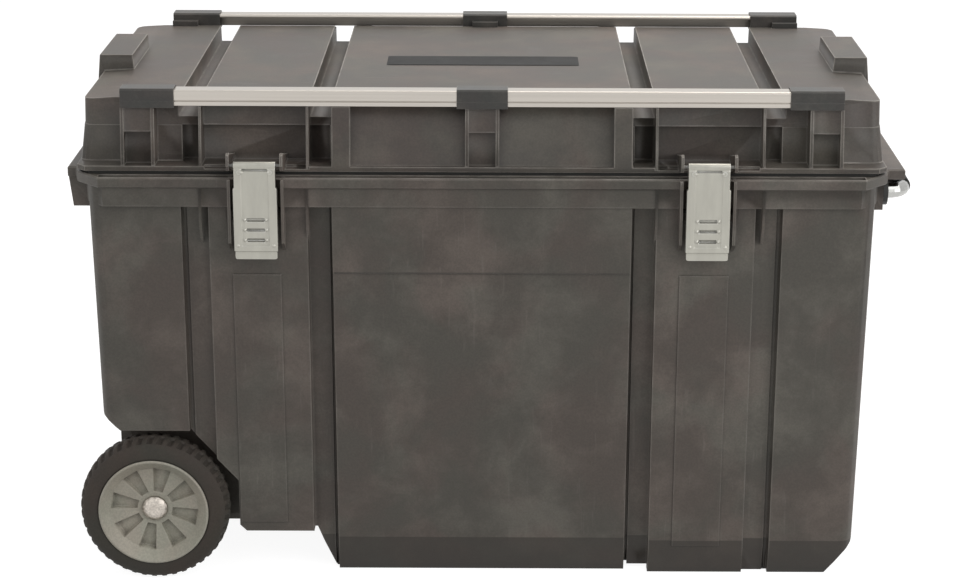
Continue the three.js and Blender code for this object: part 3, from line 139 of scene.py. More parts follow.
def new_group(name, inputs, outputs):
    """An empty shader group with named sockets: (tree, its inputs by name, its output node)."""
    tree = bpy.data.node_groups.new(name, "ShaderNodeTree")
    for label, kind, value in inputs:
        socket = tree.interface.new_socket(name=label, in_out="INPUT", socket_type=kind)
        socket.default_value = value
    for label, kind in outputs:
        tree.interface.new_socket(name=label, in_out="OUTPUT", socket_type=kind)
    entry = tree.nodes.new("NodeGroupInput")
    return tree, entry.outputs, tree.nodes.new("NodeGroupOutput")


# Noise settings are detail, roughness and distortion. A range is the noise's low and high, and what they become.
CLOUD_NOISE = (6.0, 0.62, 0.2)
CLOUD_RANGE = (0.4, 0.72)
SPECKLE_SCALE = 420.0
SPECKLE_DETAIL = 2.0
SPECKLE_RANGE = (0.35, 0.65, 0.92, 1.06)
TINT_OFFSET = (3.1, 1.7, 5.3)
TINT_SCALE = 0.8
TINT_NOISE = (3.0, 0.55, 0.4)
TINT_RANGE = (0.38, 0.62)
NOISE_MIDDLE = 0.5


def clouded_group():
    """Two colours mixed by large soft patches, with warm and cool tints and a fine speckle, as on handled plastic."""
    tree, entry, leave = new_group(
        "clouded",
        [
            ("Colour", "NodeSocketColor", (0.1, 0.1, 0.1, 1)),
            ("Haze", "NodeSocketColor", (0.2, 0.2, 0.2, 1)),
            ("Amount", "NodeSocketFloat", 0.5),
            ("Patches", "NodeSocketFloat", 6.0),
            ("Tint", "NodeSocketFloat", 0.5),
            ("Roughness", "NodeSocketFloat", 0.5),
            ("Spread", "NodeSocketFloat", 0.1),
        ],
        [("Colour", "NodeSocketColor"), ("Roughness", "NodeSocketFloat")],
    )
    place = put(tree, "ShaderNodeTexCoord").outputs["Object"]
    patches = noise(tree, place, entry["Patches"], *CLOUD_NOISE)
    soft = ranged(tree, patches, *CLOUD_RANGE)
    speckle = ranged(tree, noise(tree, place, SPECKLE_SCALE, SPECKLE_DETAIL), *SPECKLE_RANGE)
    share = calculated(tree, "MULTIPLY", soft, entry["Amount"])
    colour = mixed(tree, share, entry["Colour"], entry["Haze"])
    aside = put(tree, "ShaderNodeMapping", {"Vector": place, "Location": TINT_OFFSET}).outputs[0]
    tint_scale = calculated(tree, "MULTIPLY", entry["Patches"], TINT_SCALE)
    cast = ranged(tree, noise(tree, aside, tint_scale, *TINT_NOISE), *TINT_RANGE)
    tint = mixed(tree, cast, linear(COOL_TINT), linear(WARM_TINT))
    both = {0: entry["Tint"], 6: colour, 7: tint}
    tinted = put(tree, "ShaderNodeMix", both, data_type="RGBA", blend_type="MULTIPLY").outputs[2]
    grained = put(tree, "ShaderNodeVectorMath", {0: tinted, "Scale": speckle}, operation="SCALE").outputs[0]
    rise = calculated(tree, "MULTIPLY", calculated(tree, "SUBTRACT", patches, NOISE_MIDDLE), entry["Spread"])
    tree.links.new(grained, leave.inputs["Colour"])
    tree.links.new(calculated(tree, "ADD", entry["Roughness"], rise), leave.inputs["Roughness"])
    return tree


SCUFF_NOISE = (4.0, 0.6, 0.3)
SCUFF_SOFTNESS = 0.12
RUB_SCALE = 5.0
RUB_DETAIL = 2.0
RUB_RANGE = (0.45, 0.6)


def scuffed_group():
    """Fine pale scratches and rubs, drawn out along one axis, as a mask."""
    tree, entry, leave = new_group(
        "scuffed",
        [
            ("Stretch", "NodeSocketVector", (40, 40, 40)),
            ("Rarity", "NodeSocketFloat", 0.6),
            ("Amount", "NodeSocketFloat", 0.3),
        ],
        [("Mask", "NodeSocketFloat")],
    )
    place = put(tree, "ShaderNodeTexCoord").outputs["Object"]
    drawn = put(tree, "ShaderNodeMapping", {"Vector": place, "Scale": entry["Stretch"]}).outputs[0]
    lines = noise(tree, drawn, 1.0, *SCUFF_NOISE)
    strong = ranged(tree, lines, entry["Rarity"], calculated(tree, "ADD", entry["Rarity"], SCUFF_SOFTNESS))
    rubbed = ranged(tree, noise(tree, place, RUB_SCALE, RUB_DETAIL), *RUB_RANGE)
    mask = calculated(tree, "MULTIPLY", calculated(tree, "MULTIPLY", strong, rubbed), entry["Amount"])
    tree.links.new(mask, leave.inputs["Mask"])
    return tree


GRAIN_NOISE = (3.0, 0.6)
GRAIN_DEPTH = 0.4 * MM
SWELL_SCALE = 14.0
SWELL_NOISE = (3.0, 0.5)
SWELL_SHARE = 2.0


def grain_group():
    """The fine pebbled skin of a moulded or rubber surface, as a normal."""
    tree, entry, leave = new_group(
        "moulded_grain",
        [
            ("Grain", "NodeSocketFloat", 900.0),
            ("Height", "NodeSocketFloat", 0.3),
        ],
        [("Normal", "NodeSocketVector")],
    )
    place = put(tree, "ShaderNodeTexCoord").outputs["Object"]
    fine = noise(tree, place, entry["Grain"], *GRAIN_NOISE)
    broad = noise(tree, place, SWELL_SCALE, *SWELL_NOISE)
    height = calculated(tree, "ADD", fine, calculated(tree, "MULTIPLY", broad, SWELL_SHARE))
    bump = put(tree, "ShaderNodeBump", {"Strength": entry["Height"], "Distance": GRAIN_DEPTH, "Height": height})
    tree.links.new(bump.outputs[0], leave.inputs["Normal"])
    return tree


STREAK_NOISE = (5.0, 0.65)
STREAK_DEPTH = 0.2 * MM
STREAK_RANGE = (0.3, 0.7)


def brushed_group():
    """Streaks drawn along one axis, as roughness and as a normal."""
    tree, entry, leave = new_group(
        "brushed",
        [
            ("Stretch", "NodeSocketVector", (1, 1, 1)),
            ("Roughness", "NodeSocketFloat", 0.3),
            ("Spread", "NodeSocketFloat", 0.2),
            ("Height", "NodeSocketFloat", 0.1),
        ],
        [("Mask", "NodeSocketFloat"), ("Roughness", "NodeSocketFloat"), ("Normal", "NodeSocketVector")],
    )
    place = put(tree, "ShaderNodeTexCoord").outputs["Object"]
    drawn = put(tree, "ShaderNodeMapping", {"Vector": place, "Scale": entry["Stretch"]}).outputs[0]
    streaks = noise(tree, drawn, 1.0, *STREAK_NOISE)
    rise = calculated(tree, "MULTIPLY", calculated(tree, "SUBTRACT", streaks, NOISE_MIDDLE), entry["Spread"])
    bump = put(tree, "ShaderNodeBump", {"Strength": entry["Height"], "Distance": STREAK_DEPTH, "Height": streaks})
    tree.links.new(streaks, leave.inputs["Mask"])
    tree.links.new(calculated(tree, "ADD", entry["Roughness"], rise), leave.inputs["Roughness"])
    tree.links.new(bump.outputs[0], leave.inputs["Normal"])
    return tree


WEAR_AND_SHADE_INPUTS = ("Edge Reach", "Edge Amount", "Hollow Reach", "Hollow Amount")
OCCLUSION_SAMPLES = 6
ROUND_SAMPLES = 4
CORNER_RANGE = (0.95, 0.66)
FACING_RANGE = (-0.25, 0.25, 0.0, 1.0)
BREAK_SCALE = 35.0
BREAK_DETAIL = 3.0
BREAK_RANGE = (0.35, 0.62, 0.35, 1.0)
HOLLOW_RANGE = (1.0, 0.2)


def wear_highlight_shade_group():
    """Two masks: Edge, where the solid behind the surface is thin as at a corner that stands out, and Hollow, where the
    surface is hemmed in as in a groove. A noise breaks the first up, and a corner that turns up gets more of it than
    one that turns down. Edge is partly rubbing and partly painted highlight from the light above; Hollow is painted
    shade.
    """
    tree, entry, leave = new_group(
        "wear_highlight_and_shade",
        [
            ("Edge Reach", "NodeSocketFloat", 0.0015),
            ("Edge Amount", "NodeSocketFloat", 0.5),
            ("Hollow Reach", "NodeSocketFloat", 0.015),
            ("Hollow Amount", "NodeSocketFloat", 0.3),
        ],
        [("Edge", "NodeSocketFloat"), ("Hollow", "NodeSocketFloat")],
    )
    place = put(tree, "ShaderNodeTexCoord").outputs["Object"]
    thin = {"Distance": entry["Edge Reach"]}
    near = {"Distance": entry["Hollow Reach"]}
    within = put(tree, "ShaderNodeAmbientOcclusion", thin, inside=True, only_local=True, samples=OCCLUSION_SAMPLES)
    around = put(tree, "ShaderNodeAmbientOcclusion", near, samples=OCCLUSION_SAMPLES)
    corner = ranged(tree, within.outputs["AO"], *CORNER_RANGE)
    broken = ranged(tree, noise(tree, place, BREAK_SCALE, BREAK_DETAIL), *BREAK_RANGE)
    rounded = put(tree, "ShaderNodeBevel", {"Radius": entry["Edge Reach"]}, samples=ROUND_SAMPLES).outputs[0]
    # Edges that turn up take more of the pale mark than those that turn down: painted highlight from the light above,
    # so the rubbed mask below is partly rubbing and partly painted highlight
    facing = ranged(tree, put(tree, "ShaderNodeSeparateXYZ", {0: rounded}).outputs["Z"], *FACING_RANGE)
    rubbed = calculated(tree, "MULTIPLY", calculated(tree, "MULTIPLY", corner, facing), broken)
    edge = calculated(tree, "MULTIPLY", rubbed, entry["Edge Amount"])
    # The Hollow mask: painted shade where the surface is hemmed in
    hollow = ranged(tree, around.outputs["AO"], *HOLLOW_RANGE)
    tree.links.new(edge, leave.inputs["Edge"])
    tree.links.new(calculated(tree, "MULTIPLY", hollow, entry["Hollow Amount"]), leave.inputs["Hollow"])
    return tree


CLOUDED = clouded_group()
WEAR_HIGHLIGHT_SHADE = wear_highlight_shade_group()
SCUFFED = scuffed_group()
GRAIN = grain_group()
BRUSHED = brushed_group()


def surface(name, metallic=0.0, **sockets):
    """A material with one Principled BSDF: (material, tree, BSDF)."""
    made = bpy.data.materials.new(name)
    made.use_nodes = True
    tree = made.node_tree
    bsdf = tree.nodes["Principled BSDF"]
    bsdf.inputs["Metallic"].default_value = metallic
    for key, value in sockets.items():
        bsdf.inputs[key].default_value = value
    return made, tree, bsdf


def wear_highlight_shade_tone(tree, tone, wear_and_light):
    """The tone with painted shade in its hollows and pale edges, partly rubbed and partly painted highlight. Its last
    argument holds the group's four input values in order and then the edges' colour.
    """
    *values, edge_colour = wear_and_light
    wear_highlight_and_shade = put(tree, "ShaderNodeGroup", dict(zip(WEAR_AND_SHADE_INPUTS, values)), node_tree=WEAR_HIGHLIGHT_SHADE)
    # Painted shade in the hollows, then pale edges, partly rubbed and partly painted highlight
    tone = mixed(tree, wear_highlight_and_shade.outputs["Hollow"], tone, linear(PAINTED_SHADE_COLOUR))
    return mixed(tree, wear_highlight_and_shade.outputs["Edge"], tone, linear(edge_colour))


# Painted shade: a dark band round the tub's foot, and a painted shadow line under the crease of the long walls' middle
# panels
FOOT_HEIGHT = 46 * MM
FOOT_SOFT = 0.5 * MM
FOOT_SHARE = 0.72
CREASE_HEIGHT = 392.5 * MM
CREASE_MIDDLE = -12 * MM
CREASE_HALF = 175 * MM
CREASE_LINE = (0.6 * MM, 1.8 * MM)
CREASE_END = 1 * MM
CREASE_SHARE = 0.75


def foot_and_crease_shade_tone(tree, tone, foot):
    """The tone with painted shade below the foot's height and a painted shadow line along the crease."""
    spot = put(tree, "ShaderNodeSeparateXYZ", {0: put(tree, "ShaderNodeTexCoord").outputs["Object"]}).outputs
    low = ranged(tree, spot["Z"], foot + FOOT_SOFT, foot - FOOT_SOFT, 0.0, FOOT_SHARE)
    tone = mixed(tree, low, tone, linear(FOOT_AND_CREASE_SHADE))
    off_line = calculated(tree, "ABSOLUTE", calculated(tree, "SUBTRACT", spot["Z"], CREASE_HEIGHT))
    aside = calculated(tree, "ABSOLUTE", calculated(tree, "SUBTRACT", spot["X"], CREASE_MIDDLE))
    line = ranged(tree, off_line, *CREASE_LINE, CREASE_SHARE, 0.0)
    along = ranged(tree, aside, CREASE_HALF, CREASE_HALF + CREASE_END, 1.0, 0.0)
    return mixed(tree, calculated(tree, "MULTIPLY", line, along), tone, linear(FOOT_AND_CREASE_SHADE))


PLASTIC_SPREAD = 0.25


def plastic(
    name, colour, haze, amount, patches=6.0, tint=0.3, roughness=0.5, grain=900.0, height=0.3,
    scuffs=None, shine=0.4, wear_and_light=None, foot=None,
):
    """Moulded plastic or rubber: clouded and scuffed colour over a fine pebbled skin. Given edge and hollow values, it
    has painted shade in its hollows and pale edges, partly rubbed and partly painted highlight.

    With a foot height it has painted shade below it, and a painted shadow line along the crease of the long walls'
    middle panels.
    """
    made, tree, bsdf = surface(name)
    bsdf.inputs["Specular IOR Level"].default_value = shine
    values = {"Colour": linear(colour), "Haze": linear(haze), "Amount": amount, "Patches": patches}
    values |= {"Tint": tint, "Roughness": roughness, "Spread": PLASTIC_SPREAD}
    look = put(tree, "ShaderNodeGroup", values, node_tree=CLOUDED)
    skin = put(tree, "ShaderNodeGroup", {"Grain": grain, "Height": height}, node_tree=GRAIN)
    tone = look.outputs["Colour"]
    if scuffs:
        marks = put(tree, "ShaderNodeGroup", dict(zip(("Stretch", "Rarity", "Amount"), scuffs)), node_tree=SCUFFED)
        tone = mixed(tree, marks.outputs["Mask"], tone, linear(RUB_AND_HIGHLIGHT_COLOUR))
    if foot:
        tone = foot_and_crease_shade_tone(tree, tone, foot)
    if wear_and_light:
        tone = wear_highlight_shade_tone(tree, tone, wear_and_light)
    tree.links.new(tone, bsdf.inputs["Base Color"])
    tree.links.new(look.outputs["Roughness"], bsdf.inputs["Roughness"])
    tree.links.new(skin.outputs["Normal"], bsdf.inputs["Normal"])
    return made


def metal(name, colour, roughness, stretch=(60, 60, 60), spread=0.15, height=0.05, darker=0.8, wear_and_light=None):
    """Metal with streaks or a satin bloom in its colour, roughness and normal, and given edge and hollow values,
    painted shade in its hollows and pale edges, partly rubbed and partly painted highlight.
    """
    made, tree, bsdf = surface(name, metallic=1.0)
    values = {"Stretch": stretch, "Roughness": roughness, "Spread": spread, "Height": height}
    look = put(tree, "ShaderNodeGroup", values, node_tree=BRUSHED)
    full = linear(colour)
    dim = (*[channel * darker for channel in full[:3]], 1.0)
    tone = mixed(tree, ranged(tree, look.outputs["Mask"], *STREAK_RANGE), dim, full)
    if wear_and_light:
        tone = wear_highlight_shade_tone(tree, tone, wear_and_light)
    tree.links.new(tone, bsdf.inputs["Base Color"])
    tree.links.new(look.outputs["Roughness"], bsdf.inputs["Roughness"])
    tree.links.new(look.outputs["Normal"], bsdf.inputs["Normal"])
    return made


# Pale edges and painted shade, in the order of the edge and hollow group's inputs and then the edges' colour: the edge
# values give pale edges, partly rubbed and partly painted highlight, and the hollow values give painted shade. Scuffs
# are given as stretch, rarity and amount
MOULDED_WEAR_AND_PAINTED_LIGHT = (2.0 * MM, 0.9, 14 * MM, 0.4, RUB_AND_HIGHLIGHT_COLOUR)
CAP_WEAR_AND_PAINTED_LIGHT = (1.0 * MM, 0.4, 8 * MM, 0.4, RUB_AND_HIGHLIGHT_COLOUR)
HUB_WEAR_AND_PAINTED_LIGHT = (1.6 * MM, 0.5, 10 * MM, 0.6, CAP_ZINC)
TYRE_WEAR_AND_PAINTED_LIGHT = (1.6 * MM, 0.5, 6 * MM, 0.75, TYRE_EDGE)
PRESSED_WEAR_AND_PAINTED_LIGHT = (1.3 * MM, 0.8, 4 * MM, 1.0, RUBBED_ZINC_AND_HIGHLIGHT)
UPRIGHT_SCUFFS = ((170, 170, 14), 0.6, 0.1)
LENGTHWISE_SCUFFS = ((12, 170, 170), 0.6, 0.14)

tub_plastic = plastic(
    "tub_plastic", TUB_COLOUR, TUB_HAZE, 0.8, patches=11.0, tint=0.42,
    scuffs=UPRIGHT_SCUFFS, wear_and_light=MOULDED_WEAR_AND_PAINTED_LIGHT, foot=FOOT_HEIGHT,
)
lid_plastic = plastic(
    "lid_plastic", LID_COLOUR, LID_HAZE, 0.7, patches=11.0, tint=0.4,
    scuffs=LENGTHWISE_SCUFFS, wear_and_light=MOULDED_WEAR_AND_PAINTED_LIGHT,
)
# Paler plastic for the rounded edges of tub and lid that stand out: partly rubbed and partly painted highlight
edge_wear_and_highlight_plastic = plastic("worn_and_highlit_edge", RUB_AND_HIGHLIGHT_COLOUR, TUB_HAZE, 0.7, patches=30.0, roughness=0.4)
cap_plastic = plastic("cap_plastic", CAP_COLOUR, TUB_HAZE, 0.3, patches=25.0, roughness=0.4, wear_and_light=CAP_WEAR_AND_PAINTED_LIGHT)
hub_plastic = plastic("hub_plastic", HUB_COLOUR, HUB_HAZE, 0.6, patches=20.0, tint=0.2, wear_and_light=HUB_WEAR_AND_PAINTED_LIGHT)
guide_plastic = plastic("guide_plastic", BLACK_PLASTIC, CAP_COLOUR, 0.3, patches=25.0)
tyre_rubber = plastic(
    "tyre_rubber", TYRE_COLOUR, TYRE_HAZE, 0.6, patches=14.0, tint=0.5,
    roughness=0.75, height=0.6, wear_and_light=TYRE_WEAR_AND_PAINTED_LIGHT,
)
seal_rubber = plastic("seal_rubber", RUBBER, CAP_COLOUR, 0.2, roughness=0.8)
grip_rubber = plastic("grip_rubber", RUBBER, CAP_COLOUR, 0.3, patches=30.0, roughness=0.6, height=0.6)
strip_film = plastic(
    "strip_film", STRIP_COLOUR, RUBBER, 0.3, patches=18.0,
    roughness=0.5, height=0.05, shine=0.15,
)
rail_aluminium = metal(
    "rail_aluminium", ALUMINIUM, 0.32, stretch=(3, 900, 900), spread=0.2, height=0.12, darker=0.9
)
latch_zinc = metal(
    "latch_zinc", ZINC, 0.4, stretch=(90, 90, 20), spread=0.2, height=0.04, darker=0.9, wear_and_light=PRESSED_WEAR_AND_PAINTED_LIGHT
)
pin_steel = metal("pin_steel", STEEL, 0.35)
bright_cap = metal("bright_cap", CAP_ZINC, 0.4, stretch=(420, 420, 420), spread=0.3, height=0.9, darker=0.6)
handle_chrome = metal("handle_chrome", HANDLE_CHROME, 0.12, spread=0.05, height=0.01, darker=0.85)


def dress(obj, body, material):
    """A finished piece rides on a body and takes its finish."""
    obj.data.materials.clear()
    obj.data.materials.append(material)
    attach(obj, body)
    return obj


def paint_node(node, material):
    """A CAD node keeps its mesh and gets a better material."""
    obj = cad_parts[node]
    for entry in obj.material_slots:
        entry.material = material


def linked(name, mesh):
    obj = bpy.data.objects.new(name, mesh)
    bpy.context.scene.collection.objects.link(obj)
    return obj


# An edge counts as meeting another at a slant below this cosine, and is rounded in full from this many widths of room
SLANT_COSINE = 0.96
FULL_ROOM = 2.4


def standing_edge_weights(mesh, width, angle):
    """For each edge that stands out, the share of the rounding that it and the edges round it have room for, else 0.

    An edge stands out where the way into one face, its normal crossed with the edge's direction there, points below the
    other face. Its room is the shortest of its own length and those of the edges that meet it at a slant.
    """
    count = len(mesh.edges)
    place = np.empty(len(mesh.vertices) * 3)
    mesh.vertices.foreach_get("co", place)
    place = place.reshape(-1, 3)
    ends = np.empty(count * 2, int)
    mesh.edges.foreach_get("vertices", ends)
    ends = ends.reshape(-1, 2)
    span = place[ends[:, 1]] - place[ends[:, 0]]
    length = np.linalg.norm(span, axis=1)
    start = np.empty(len(mesh.polygons), int)
    total = np.empty(len(mesh.polygons), int)
    normal = np.empty(len(mesh.polygons) * 3)
    mesh.polygons.foreach_get("loop_start", start)
    mesh.polygons.foreach_get("loop_total", total)
    mesh.polygons.foreach_get("normal", normal)
    of_loop = np.empty(len(mesh.loops), int)
    corner = np.empty(len(mesh.loops), int)
    mesh.loops.foreach_get("edge_index", of_loop)
    mesh.loops.foreach_get("vertex_index", corner)
    face = np.repeat(np.arange(len(start)), total)
    after = np.arange(len(corner)) + 1
    after[start + total - 1] = start
    way = place[corner[after]] - place[corner]
    normal = normal.reshape(-1, 3)[face]
    into = np.cross(normal, way)
    order = np.argsort(of_loop, kind="stable")
    paired = of_loop[order[1:]] == of_loop[order[:-1]]
    first, second = order[:-1][paired], order[1:][paired]
    turn = np.sum(normal[first] * normal[second], axis=1)
    out = np.sum(into[first] * normal[second], axis=1) < 0
    weight = np.zeros(count)
    weight[of_loop[first]] = out & (turn < math.cos(math.radians(angle)))
    room = length.copy()
    vertex = ends.reshape(-1)
    edge = np.repeat(np.arange(count), 2)
    order = np.argsort(vertex, kind="stable")
    vertex, edge = vertex[order], edge[order]
    for step in range(1, int(np.bincount(vertex).max())):
        near, far = edge[:-step], edge[step:]
        slant = np.abs(np.sum(span[near] * span[far], axis=1)) < SLANT_COSINE * length[near] * length[far]
        touching = (vertex[:-step] == vertex[step:]) & slant
        np.minimum.at(room, near[touching], length[far[touching]])
        np.minimum.at(room, far[touching], length[near[touching]])
    return weight * np.clip(room / (FULL_ROOM * width), 0, 1)


WELD = 0.002 * MM
FLAT = math.radians(0.4)


def rounded_copy(node, name, body, material, width, segments=2, angle=32, edge=None):
    """A CAD node's own shape, its triangles joined into faces and its edges rounded.

    With an edge material only the edges that stand out are rounded, and they take it.
    """
    build = bmesh.new()
    build.from_mesh(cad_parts[node].data)
    bmesh.ops.remove_doubles(build, verts=build.verts, dist=WELD)
    bmesh.ops.dissolve_limit(build, angle_limit=FLAT, verts=build.verts, edges=build.edges)
    mesh = bpy.data.meshes.new(name)
    build.to_mesh(mesh)
    build.free()
    mesh.shade_smooth()
    obj = linked(name, mesh)
    bevel = obj.modifiers.new("edges", "BEVEL")
    bevel.width = width
    bevel.segments = segments
    bevel.limit_method = "ANGLE"
    bevel.angle_limit = math.radians(angle)
    if edge:
        bevel.limit_method = "WEIGHT"
        weights = mesh.attributes.new("bevel_weight_edge", "FLOAT", "EDGE")
        weights.data.foreach_set("value", standing_edge_weights(mesh, width, angle))
    even = obj.modifiers.new("shading", "WEIGHTED_NORMAL")
    even.keep_sharp = True
    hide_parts(node)
    dress(obj, body, material)
    if edge:
        obj.data.materials.append(edge)
        bevel.material = 1
    return obj


def grid_mesh(name, points, closed_u=True, closed_v=True):
    """A mesh from a grid of points, shape (u, v, 3), closed round either way."""
    rows, columns = points.shape[:2]
    u = np.arange(rows if closed_u else rows - 1)
    v = np.arange(columns if closed_v else columns - 1)
    first, second = np.meshgrid(u, v, indexing="ij")
    beside, above = (first + 1) % rows, (second + 1) % columns
    corners = [first * columns + second, beside * columns + second, beside * columns + above, first * columns + above]
    faces = np.stack(corners, axis=-1).reshape(-1, 4)
    mesh = bpy.data.meshes.new(name)
    mesh.from_pydata(points.reshape(-1, 3).tolist(), [], faces.tolist())
    mesh.shade_smooth()
    return mesh


POLE_WELD = 0.001 * MM


def outward(mesh):
    """The mesh with its poles closed and its faces turned outwards."""
    build = bmesh.new()
    build.from_mesh(mesh)
    bmesh.ops.remove_doubles(build, verts=build.verts, dist=POLE_WELD)
    bmesh.ops.recalc_face_normals(build, faces=build.faces)
    build.to_mesh(mesh)
    build.free()
    return mesh


def box_of(node):
    """A CAD node's box: its low corner, its high corner and the middle between them."""
    low, high = (np.array(corner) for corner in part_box(node))
    return low, high, (low + high) / 2


def turned_mesh(name, centre, around, reach, y, closed_v=True):
    """A mesh turned about an axle that lies along Y, from its points' angles, radii and places along the axle."""
    x = centre[0] + reach * np.cos(around)
    z = centre[2] + reach * np.sin(around)
    return outward(grid_mesh(name, np.stack(np.broadcast_arrays(x, y, z), axis=-1), closed_v=closed_v))


def slab_mesh(name, front, back):
    """A closed mesh between two grids that meet along their first and last rows."""
    return outward(grid_mesh(name, np.concatenate([front, back[:, ::-1]], axis=1), closed_u=False))


# Camera, floor and light. A light is its name, place, aim, size, power in watts and colour.
FLOOR_REACH = 14.0
FLOOR_GLOW = 0.92
FLOOR_ROUGHNESS = 0.9
SKY = 0.36
LIGHTS = (
    ("key", (2.3, -2.4, 2.3), (0, 0, 0.3), (3.2, 3.2), 43, (1, 1, 1)),
    ("fill", (-2.2, -2.4, 1.8), (0, 0, 0.3), (3.0, 3.0), 14, (1, 1, 1)),
    ("side", (1.7, -1.3, 0.9), (0.5, -0.28, 0.4), (0.8, 0.8), 4, (1, 1, 1)),
    ("top", (0.7, 0.8, 3.0), (0, 0, 0.5), (2.6, 1.6), 54, (1, 0.965, 0.92)),
)


def make_camera():
    data = bpy.data.cameras.new("photograph")
    data.sensor_width = SENSOR_WIDTH
    data.lens = SENSOR_WIDTH * FOCAL_PIXELS / PHOTO_WIDTH
    data.shift_x = -AXIS_RIGHT_PIXELS / PHOTO_WIDTH
    camera = bpy.data.objects.new("photograph", data)
    bpy.context.scene.collection.objects.link(camera)
    tilt = Matrix.Rotation(math.pi / 2 - CAMERA_DOWN, 4, "X")
    roll = Matrix.Rotation(CAMERA_ROLL, 4, "Z")
    camera.matrix_world = Matrix.Translation(CAMERA_PLACE) @ tilt @ roll
    bpy.context.scene.camera = camera


def seen_share(tree):
    """1 for rays that show the background, seen straight, in a reflection or through glass."""
    path = put(tree, "ShaderNodeLightPath").outputs
    seen = calculated(tree, "MAXIMUM", path["Is Camera Ray"], path["Is Glossy Ray"])
    return calculated(tree, "MAXIMUM", seen, path["Is Transmission Ray"])


def make_floor():
    """A pale floor that keeps the object's shadow and shows white elsewhere."""
    mesh = bpy.data.meshes.new("floor")
    corners = [(x * FLOOR_REACH, y * FLOOR_REACH, 0) for x, y in ((-1, -1), (1, -1), (1, 1), (-1, 1))]
    mesh.from_pydata(corners, [], [(0, 1, 2, 3)])
    made, tree, bsdf = surface("floor_pale", Roughness=FLOOR_ROUGHNESS)
    bsdf.inputs["Base Color"].default_value = linear(FLOOR_COLOUR)
    bsdf.inputs["Specular IOR Level"].default_value = 0.0
    bsdf.inputs["Emission Color"].default_value = (1, 1, 1, 1)
    tree.links.new(calculated(tree, "MULTIPLY", seen_share(tree), FLOOR_GLOW), bsdf.inputs["Emission Strength"])
    mesh.materials.append(made)
    floor = linked("floor", mesh)


def make_world():
    world = bpy.data.worlds.new("studio")
    world.use_nodes = True
    bpy.context.scene.world = world
    tree = world.node_tree
    back = tree.nodes["Background"]
    back.inputs["Color"].default_value = (1, 1, 1, 1)
    strength = ranged(tree, seen_share(tree), 0.0, 1.0, SKY, 1.0)
    tree.links.new(strength, back.inputs["Strength"])


def area_light(name, place, aim, size, power, colour):
    data = bpy.data.lights.new(name, "AREA")
    data.shape = "RECTANGLE"
    data.size, data.size_y = size
    data.energy = power
    data.color = colour
    lamp = bpy.data.objects.new(name, data)
    bpy.context.scene.collection.objects.link(lamp)
    offset = np.array(aim, float) - np.array(place, float)
    turn = Vector(offset).to_track_quat("-Z", "Y").to_matrix().to_4x4()
    lamp.matrix_world = Matrix.Translation(place) @ turn


def make_lights():
    for light in LIGHTS:
        area_light(*light)


# Wheels
TYRE_LUGS = 44
TYRE_ROUND = TYRE_LUGS * 12
TYRE_ACROSS = 88
TYRE_BORE_POINTS = 8
TYRE_SQUARENESS = 2.8
TYRE_SEAT = 0.3 * MM
TREAD_DEPTH = 3.0 * MM
TREAD_START = 0.8
TREAD_SOFT = 0.06
TREAD_SLANT = 0.35
TREAD_STAGGER = 0.5
GROOVE_START = 0.1
GROOVE_SOFT = 0.06
GROOVE_PULSE = (0.4, 0.08)
CENTRE_GROOVE_SHARE = 0.5
CENTRE_GROOVE_PULSE = (0.05, 0.04)
SHOULDER_DRAW = 0.35


def pulse(phase, width, edge):
    """1 within width of phase 0, on a circle of length 1, with soft edges."""
    away = np.abs((phase + 0.5) % 1 - 0.5)
    return np.clip((width / 2 + edge - away) / edge, 0, 1)


def tyre_mesh(name, node):
    """A superellipse section turned about the axle, with slanted grooves cut in from both shoulders.

    radius = bore + rise * sin(a) ** (2 / n) and place = -half width * cos(a) ** (2 / n) for a from 0 to 180 degrees.
    """
    low, high, centre = box_of(node)
    outer = (high[2] - low[2]) / 2
    half_width = (high[1] - low[1]) / 2
    hub_low, hub_high, _ = box_of(node.replace("tyre", "hub"))
    bore = (hub_high[2] - hub_low[2]) / 2 + TYRE_SEAT
    turn = np.linspace(0, math.pi, TYRE_ACROSS)
    power = 2 / TYRE_SQUARENESS
    rise = np.concatenate([np.sin(turn) ** power, np.zeros(TYRE_BORE_POINTS)])[None, :]
    arch = -np.sign(np.cos(turn)) * np.abs(np.cos(turn)) ** power
    inside = np.linspace(1, -1, TYRE_BORE_POINTS + 2)[1:-1]
    across = np.concatenate([arch, inside])[None, :]
    around = np.linspace(0, 1, TYRE_ROUND, endpoint=False)[:, None]
    lug_phase = around * TYRE_LUGS + TREAD_SLANT * across + TREAD_STAGGER * (across > 0)
    reach = np.clip((np.abs(across) - GROOVE_START) / GROOVE_SOFT, 0, 1)
    groove = pulse(lug_phase, *GROOVE_PULSE) * reach
    centre_groove = CENTRE_GROOVE_SHARE * pulse(across, *CENTRE_GROOVE_PULSE) * (rise > 0.5)
    tread = np.clip((rise - TREAD_START) / TREAD_SOFT, 0, 1)
    depth = TREAD_DEPTH * tread * np.maximum(groove, centre_groove)
    radius = bore + (outer - bore) * rise - depth
    place = across * half_width - SHOULDER_DRAW * depth * np.sign(across)
    return turned_mesh(name, centre, around * 2 * math.pi, radius, centre[1] + place)


HUB_ROUND = 540
HUB_POCKETS = 8
HUB_TURN = math.radians(-12)
HUB_BORE = 6.4 * MM
HUB_BOSS = 18 * MM
HUB_SHOULDER = 14 * MM
HUB_SHOULDER_DEPTH = 12 * MM
HUB_DISH = 16 * MM
HUB_FLOOR = 20.5 * MM
HUB_RIM = 7 * MM
HUB_WEB = 12 * MM
HUB_LIP = 2.5 * MM
HUB_SOFT = 0.6 * MM
HUB_FRONT_STEP = 0.8 * MM
HUB_BACK_STEP = 8 * MM
POCKET_INSET = 3 * MM
POCKET_HALVES = (5.5 * MM, 11 * MM)
POCKET_EDGE = 1.2 * MM


